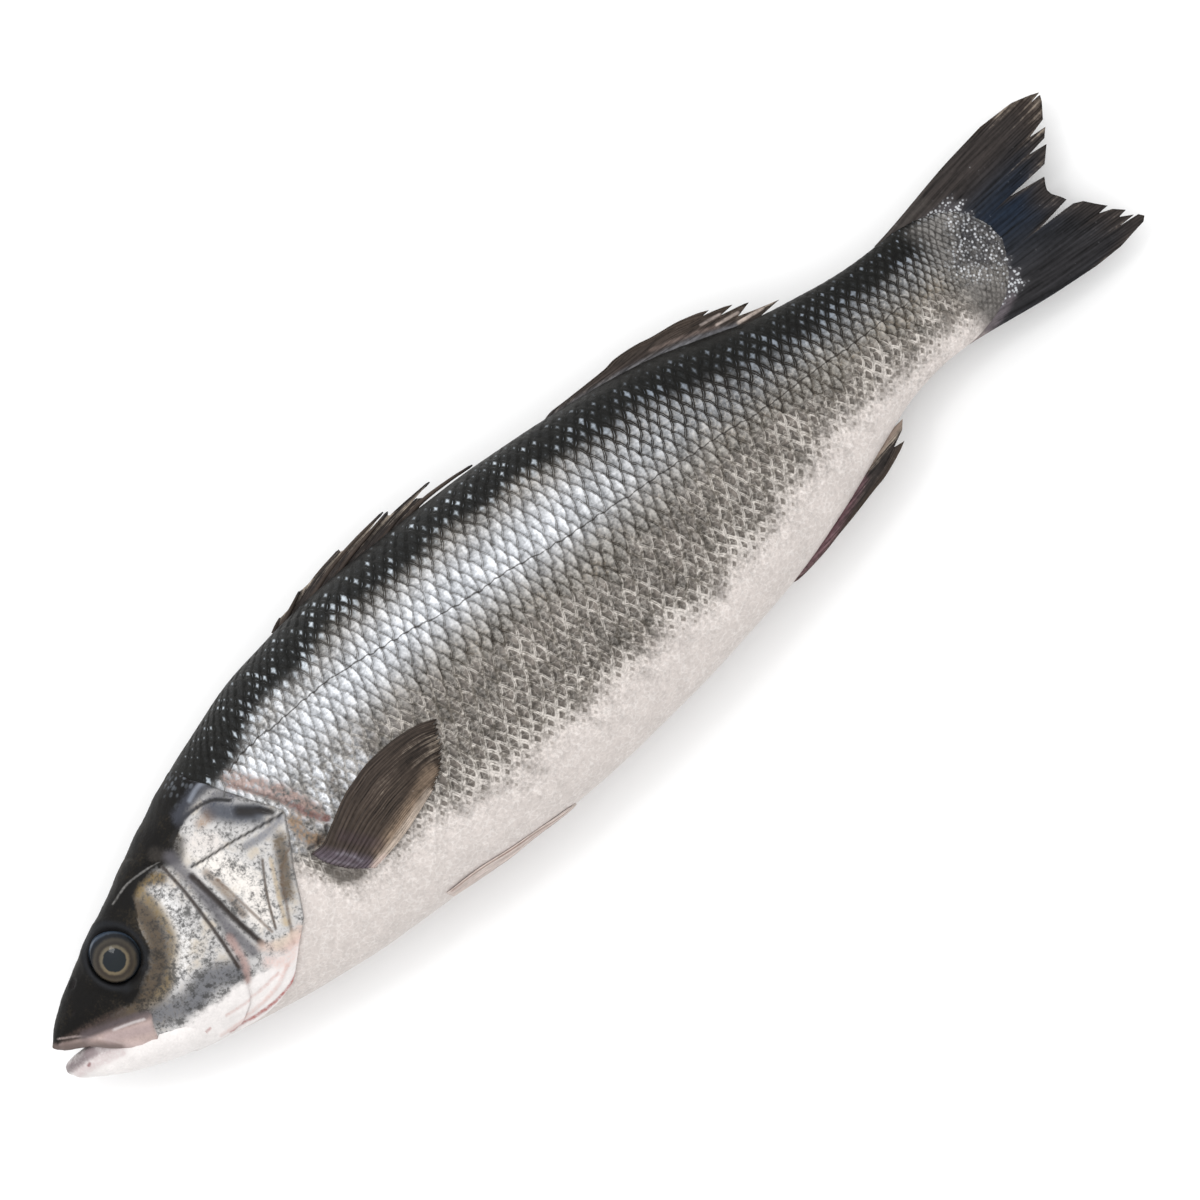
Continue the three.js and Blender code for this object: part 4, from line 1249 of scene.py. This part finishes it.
tail = {
    "pole": (-56.2, -1.95),
    "start": 206.4,
    "edges": (-0.1125, 0.1175),
    "rays": 17,
    # slope of a ray from the pole, and how far from the pole it ends
    "margin": [(-0.1125, 258.4), (-0.1091, 268.8), (-0.1038, 274.6), (-0.0995, 279.8), (-0.0944, 281.3),
               (-0.0885, 280), (-0.0878, 272.5), (-0.0865, 279), (-0.0783, 274.6), (-0.0763, 277.9),
               (-0.0659, 274.6), (-0.0604, 270.1), (-0.0595, 274.1), (-0.0487, 271.4), (-0.0371, 268.8),
               (-0.0315, 265.5), (-0.0306, 251.6), (-0.0229, 264.9), (-0.0168, 264.2), (-0.0058, 262.3),
               (0.0016, 262), (0.009, 262.9), (0.0165, 264.2), (0.0265, 250.9), (0.0276, 266.8),
               (0.0446, 271.7), (0.0494, 264.9), (0.0515, 272.4), (0.0606, 275), (0.0644, 268.8),
               (0.069, 276), (0.0853, 279.6), (0.0925, 280.6), (0.0932, 276.5), (0.0946, 281),
               (0.1003, 277.9), (0.1099, 271.4), (0.1175, 258.4)],
    "grid": (80, 409),
    "thick": (0.95, 0.3),
    "splits": (0.5, 0.75),
    "swell": 0,
    # the belly's pale end runs out on the lower root, brownish skin on the upper one
    "washes": [
        ([(146, -24.6), (156, -24.2), (164, -21.6)], 2.4, (158, 148, 146), 0.85),
        ([(162, -23.6), (168, -22.6), (174, -20.4)], 2.0, (104, 97, 102), 0.8),
        ([(150, 19), (160, 19.6), (172, 21)], 2.2, (74, 69, 66), 0.7),
    ],
}


def tailFin(material):
    rows, columns = tail["grid"]
    slope = np.linspace(*tail["edges"], columns)[None, :]
    share = np.linspace(0, 1, rows)[:, None]
    reach = tail["start"] + (brokenLine(slope, tail["margin"]) - tail["start"]) * share
    spread = slope * (0.93 + 0.07 * ease(reach, 206, 245))
    plan = np.stack([tail["pole"][0] + reach, tail["pole"][1] + spread * reach], -1)

    def colours(share, across):
        blue = bell(across, 0.55, 0.16) * (0.5 + 0.5 * share) * (1 - ease(share, 0.75, 1))
        brown = ease(across, 0.66, 0.88) * 0.4 + ease(share, 0.8, 1) * 0.35 + bell(across, 0.1, 0.16) * 0.1
        pale = ease(share, 0.7, 1) * (0.2 + 0.15 * ease(across, 0.6, 0.8)) + 0.06
        return np.stack([np.clip(brown, 0, 1), pale, blue], -1)
    return standingFin("tail_fin", plan, tail, material, colours)


secondDorsal = {
    "root": [(26.6, 44.6), (39.7, 43.6), (55.9, 41), (72.2, 37.2), (88.4, 32.5), (102, 26.5)],
    "front": [(26.6, 44.6), (33.2, 46.9), (39.7, 46.8), (55.9, 46.4), (60.8, 46.9), (68.9, 46.1),
              (75.4, 44.6), (83.5, 43.3), (88.4, 42), (92.3, 40.7), (95.2, 39.3)],
    "margin": [(95.2, 39.3), (88, 38.9), (102.4, 35.7), (93, 35.4), (106.9, 32.9), (101, 31.6),
               (115.1, 27.2)],
    "rear": [(102, 26.5), (108, 27), (115.1, 27.2)],
    "grid": (50, 150),
    "rays": 11,
    "thick": (0.6, 0.28),
    "splits": (0.5,),
    "swell": 1.4,
    # a grey sheath along the root, and pale strokes between the rear tips that are painted highlights
    "washes": [
        ([(33, 44.4), (50, 42.4), (66, 39.4), (83, 34.8), (98, 29)], 1.9, (112, 112, 116), 0.8),
        ([(72, 41.5), (84, 37.6), (94, 33.4)], 0.7, (116, 102, 96), 0.6),
        ([(90, 37.4), (97, 36)], 0.5, (176, 164, 158), 0.7),
        ([(94, 34), (102, 32.6)], 0.5, (184, 170, 162), 0.8),
        ([(100, 30), (109, 28.6)], 0.6, (190, 176, 166), 0.8),
    ],
}
analFin = {
    "root": [(57.5, -43), (64, -42.5), (78.7, -38.5), (91.7, -33.5), (104.7, -28)],
    "front": [(57.5, -43), (59.8, -46.7), (72.2, -45.7), (80.3, -44.1), (88.4, -42.6), (98.2, -40.5),
              (104.7, -39.2), (112.8, -36.3), (116.7, -34.4)],
    "margin": [(116.7, -34.4), (112.6, -33.8), (118.4, -31.2), (120.9, -28.5)],
    "rear": [(104.7, -28), (112, -29), (120.9, -28.5)],
    "grid": (50, 120),
    "rays": 10,
    "thick": (0.6, 0.28),
    "splits": (0.5,),
    "swell": 1.2,
    # mauve at the front and along the root, pale and thin at the upper rear tip
    "washes": [
        ([(57, -44.5), (70, -43.6), (84, -39.6), (98, -34)], 2.6, (128, 98, 104), 0.75),
        ([(66, -44.5), (80, -41.4), (94, -36.6)], 0.5, (92, 60, 66), 0.6),
        ([(102, -32.6), (111, -30.6), (119.5, -28.8)], 1.5, (158, 140, 128), 0.85),
        ([(96, -32.6), (106, -29.4), (116, -28.6)], 0.5, (206, 184, 174), 0.7),
    ],
}


def dorsalColours(share, across):
    brown = 0.5 + 0.4 * share
    pale = 0.12 + 0.4 * ease(share, 0.35, 1) * ease(across, 0.45, 1) + 0.3 * (1 - ease(share, 0, 0.3))
    return np.stack([brown, pale, 0 * share], -1)


def analColours(share, across):
    pale = 0.2 + 0.7 * ease(across, 0.6, 0.95) + 0.25 * (1 - ease(share, 0, 0.4))
    return np.stack([0.4 + 0.6 * (1 - ease(across, 0, 0.4)), pale, 0 * share], -1)


# first dorsal fin: spines folded back along the ridge, with a membrane from each to the next
firstDorsal = {
    "steps": 26,
    "spokes": 10,
    "radius": 0.95,
    "lean": 0.9,
    "grid": (24, 16),
    "rays": 3,
    "thick": (0.5, 0.22),
    "splits": (),
    "swell": 0,
    "washes": [],
    # each spine from its root to its tip
    "spines": [
        [(-81.3, 49.6), (-79, 51), (-76.4, 52.2)],
        [(-78, 49.8), (-72.5, 51.9), (-66, 54.8)],
        [(-74.1, 49.8), (-66, 52.9), (-57.9, 55.2), (-47.5, 56.9)],
        [(-66, 50), (-54.6, 53.7), (-41.6, 55.9), (-28.6, 57.1)],
        [(-56.2, 50), (-46.5, 52.9), (-36.7, 54.6), (-27.3, 56.2)],
        [(-46.5, 50), (-35.1, 52.9), (-25.4, 54.4), (-10.7, 54.9)],
        [(-36.7, 50), (-27, 52.2), (-17.2, 53.3)],
        [(-27, 50), (-17.2, 51.6), (-5.9, 51.2), (3.6, 50.1)],
    ],
}


def foldedSpines(material):
    # round tapering spines: a ring of points at each step of the path
    steps, spokes = firstDorsal["steps"], firstDorsal["spokes"]
    points, quads, triangles, rays, hues = [], [], [], [], []
    for number, path in enumerate(firstDorsal["spines"]):
        centre = resample(curvedPath(path), steps)
        ahead = np.gradient(centre, axis=0)
        ahead = ahead / np.hypot(*ahead.T)[:, None]
        share = np.linspace(0, 1, steps)[:, None]
        radius = firstDorsal["radius"] * (1 - 0.55 * share) * (1 - 0.5 * ease(share, 0.97, 1))
        turn = np.linspace(0, 2 * math.pi, spokes, endpoint=False)[None, :]
        offset = firstDorsal["lean"] * math.sin(number * 2.1)
        x = centre[:, :1] - ahead[:, 1:] * radius * np.cos(turn)
        y = centre[:, 1:] + ahead[:, :1] * radius * np.cos(turn)
        z = middleAt(x) + offset + radius * np.sin(turn)
        start = sum(len(block) for block in points)
        skin = np.stack([x, y, z], -1).reshape(-1, 3)
        points.append(np.vstack([skin, skin[:spokes].mean(axis=0), skin[-spokes:].mean(axis=0)]))
        quads.append(gridFaces(steps, spokes, wrap=True, first=start))
        ring = np.arange(spokes) + start
        last = start + steps * spokes
        triangles += [fanFaces(ring, last, turned=True), fanFaces(ring + (steps - 1) * spokes, last + 1)]
        share = np.append((share + 0 * turn).ravel(), [0, 1])
        rays.append(np.stack([share * 0 + number * 3.7, share * 0.3, 0.5 + 0 * share], -1))
        hues.append(np.stack([0.75 - 0.6 * ease(share, 0.8, 1), 0.12 + 0 * share, 0 * share], -1))
    hues = np.vstack(hues)
    values = {"ray": np.vstack(rays), "hues": hues, "wash": hues * 0, "cover": hues * 0}
    return makePiece("dorsal_spines", np.vstack(points), np.vstack(quads), np.vstack(triangles), values,
                     material, "fin", ["fish"])


def membraneColours(share, across):
    pale = 0.25 + 0.55 * ease(share, 0.35, 1) * bell(across, 0.5, 0.35)
    return np.stack([0.45 + 0 * share, pale, 0 * share], -1)


def foldedMembranes(material):
    spines = firstDorsal["spines"]
    for number, (before, after) in enumerate(zip(spines[:-1], spines[1:])):
        front = curvedPath(before)
        reach = resample(curvedPath(after), 40)[:26]
        margin = [front[-1], (front[-1] * 0.45 + reach[-1] * 0.55) - np.array([2.5, 0.3]), reach[-1]]
        plan = patch([front[0], reach[0]], curvedPath(margin), front, reach, *firstDorsal["grid"])
        standingFin(f"dorsal_membrane_{number + 1}", plan, firstDorsal, material, membraneColours)


pectoral = {
    "root": [(-116.4, -12.9), (-114.5, -18), (-110, -24), (-103.4, -29.2)],
    "upper": [(-116.4, -12.9), (-111.5, -12.9), (-106.6, -10.6), (-96.9, -5.8), (-90.4, -3.8),
              (-83.9, -2.3), (-74.1, -1.9), (-67.6, -2.5), (-62.7, -3.5), (-58.2, -5.4)],
    "margin": [(-58.2, -5.4), (-61.1, -10.3), (-62.1, -12.9), (-64.4, -15.2), (-67, -18.4),
               (-70.9, -20.7), (-74.1, -22.7)],
    "lower": [(-103.4, -29.2), (-95, -28.2), (-87.1, -26.6), (-74.1, -22.7)],
    "rays": 15,
    "lift": (2.6, 1.3),
    "grid": (60, 121),
    "washes": [
        ([(-98, -26), (-90, -24.5), (-80, -21.5), (-70, -17.5)], 2.8, (148, 128, 110), 0.7),
        ([(-102, -28.5), (-94, -27.5), (-84, -25), (-75, -22.5)], 1.6, (202, 186, 172), 0.85),
        ([(-114, -15.5), (-110, -20), (-105, -26)], 2.8, (96, 86, 94), 0.85),
        ([(-105, -15), (-101, -20), (-98, -24)], 2.4, (72, 60, 62), 0.6),
        # painted highlights: two faint pale lines on the crinkles at the fin's base
        ([(-115, -16), (-112, -19.5), (-108, -24.5)], 0.5, (160, 154, 162), 0.2),
        ([(-110, -18), (-107, -21), (-105.5, -25)], 0.5, (176, 172, 182), 0.2),
        ([(-104, -28.6), (-99, -28.6)], 1.2, (214, 192, 184), 0.7),
    ],
}
pelvic = {
    # [x, section angle in degrees] instead of [x, y]
    "root": [(-92, -70), (-91, -78)],
    "upper": [(-92, -70), (-80, -70), (-65, -74), (-45, -80)],
    "margin": [(-45, -80), (-42, -84), (-46, -88)],
    "lower": [(-91, -78), (-76, -86), (-60, -89.5), (-46, -88)],
    "rays": 6,
    "lift": (0.6, 0.7),
    "grid": (60, 121),
    # [x, degrees] as well: pale all over, brown along the upper edge and the rear of the lower one
    "washes": [
        ([(-92, -74), (-75, -78), (-60, -81), (-46, -84)], 12, (226, 212, 205), 0.97),
        ([(-90, -70.6), (-80, -70.8), (-65, -74.8), (-46, -81)], 0.6, (160, 128, 118), 0.7),
        ([(-78, -76), (-64, -79.5), (-52, -83)], 0.4, (176, 140, 130), 0.6),
        ([(-76, -85), (-62, -88), (-50, -87)], 1.2, (128, 98, 94), 0.8),
    ],
}


def lyingFin(name, shape, side, material, colours, byAngle=False):
    # a fin pressed against the body: its outer face is lifted off the skin, its inner face just clears it
    rows, columns = shape["grid"]
    plan = patch(resample(curvedPath(shape["root"]), rows), curvedPath(shape["margin"]), shape["upper"],
                 shape["lower"], rows, columns)
    x, second = plan[..., 0], plan[..., 1]
    share = np.linspace(0, 1, rows)[:, None] + np.zeros((1, columns))
    phase = np.linspace(0, shape["rays"], columns)[None, :] + np.zeros((rows, 1))
    ragged = 1 + 0.02 * np.sin(phase * 2 * math.pi) * ease(share, 0.8, 1)
    x = x + (ragged - 1) * 40
    relief = rayRelief(phase, share, (0.4, 0.7))
    angle = np.radians(second) if byAngle else trunkForm.angle(x, second)
    lift = shape["lift"][0] + (shape["lift"][1] - shape["lift"][0]) * share
    border = np.minimum(ease(phase, 0, 0.3), ease(shape["rays"] - phase, 0, 0.3))
    border = border * (1 - ease(share, 0.97, 1))
    lift = lift + 0.35 * relief * (1 - 0.5 * share) + ripple(x, second, 20, 51) * 0.25 * share
    upper = trunkForm.skin(x, angle, lift * (0.72 + 0.28 * border), side)
    lower = trunkForm.skin(x, angle, lift * 0.72 - 0.35, side)
    wash = Wash(x, second).strokes(shape["washes"])
    hues = colours(share, phase / shape["rays"])
    values = finValues(phase, share, relief, hues, wash, 0 * x)
    return sheetPiece(name, upper, lower, values, material=material, slot="fin", replaced=["fish"])


def pectoralColours(share, across):
    pale = 0.2 * ease(share, 0.7, 1) + 0.3 * bell(across, 0.3, 0.2) * ease(share, 0.2, 0.7)
    return np.stack([0.8 + 0.2 * across, pale, 0 * share], -1)


def pelvicColours(share, across):
    return np.stack([0.8 + 0 * share, 1 + 0 * share, 0 * share], -1)


tailFin(finPaint)
standingFin("second_dorsal_fin", shapePatch(secondDorsal), secondDorsal, finPaint, dorsalColours)
standingFin("anal_fin", shapePatch(analFin), analFin, finPaint, analColours)
foldedSpines(finPaint)
foldedMembranes(finPaint)
for side, label in flanks:
    lyingFin(f"{label}_pectoral_fin", pectoral, side, finPaint, pectoralColours)
    lyingFin(f"{label}_pelvic_fin", pelvic, side, finPaint, pelvicColours, True)
print("fins built")


# Daylight from the back's side, a white table and the camera straight above

light = {
    "keyPlace": (-0.3, 0.6, 1.15),
    "keyPower": 16,
    "keySize": 2.2,
    "glintPlace": (-0.25, 0.42, 1.2),
    "glintPower": 1.3,
    "glintSize": 0.16,
    "sky": 0.93,
    "cameraWidth": 0.39,
    "lens": 200,
    "sensor": 36,
    "aim": (0.00715, -0.0103, 0.035),
    "turn": -40,
    "tableHalf": 4.0,
}


def setStage():
    for label in ("key", "glint"):
        lampData = bpy.data.lights.new(label, "AREA")
        lampData.energy = light[label + "Power"]
        lampData.size = light[label + "Size"]
        lamp = bpy.data.objects.new(label, lampData)
        lamp.location = light[label + "Place"]
        lamp.rotation_euler = (-Vector(light[label + "Place"])).to_track_quat("-Z", "Y").to_euler()
        scene.collection.objects.link(lamp)
    world = bpy.data.worlds.new("sky")
    world.use_nodes = True
    world.node_tree.nodes["Background"].inputs["Color"].default_value = (1, 1, 1, 1)
    world.node_tree.nodes["Background"].inputs["Strength"].default_value = light["sky"]
    scene.world = world
    cameraData = bpy.data.cameras.new("camera")
    cameraData.lens = light["lens"]
    cameraData.sensor_width = light["sensor"]
    cameraData.dof.use_dof = False
    camera = bpy.data.objects.new("camera", cameraData)
    away = light["cameraWidth"] * light["lens"] / light["sensor"]
    x, y, z = light["aim"]
    camera.location = (x, y, z + away)
    camera.rotation_euler = (0, 0, math.radians(light["turn"]))
    scene.collection.objects.link(camera)
    scene.camera = camera
    scene.view_settings.view_transform = "Standard"
    s = Shader("white_table", Roughness=0.9)
    s.feed("Base Color", (0.93, 0.93, 0.93, 1))
    half = light["tableHalf"]
    mesh = bpy.data.meshes.new("floor")
    corners = [(-half, -half, 0), (half, -half, 0), (half, half, 0), (-half, half, 0)]
    mesh.from_pydata(corners, [], [(0, 1, 2, 3)])
    mesh.materials.append(s.material)
    floor = bpy.data.objects.new("floor", mesh)
    scene.collection.objects.link(floor)


setStage()
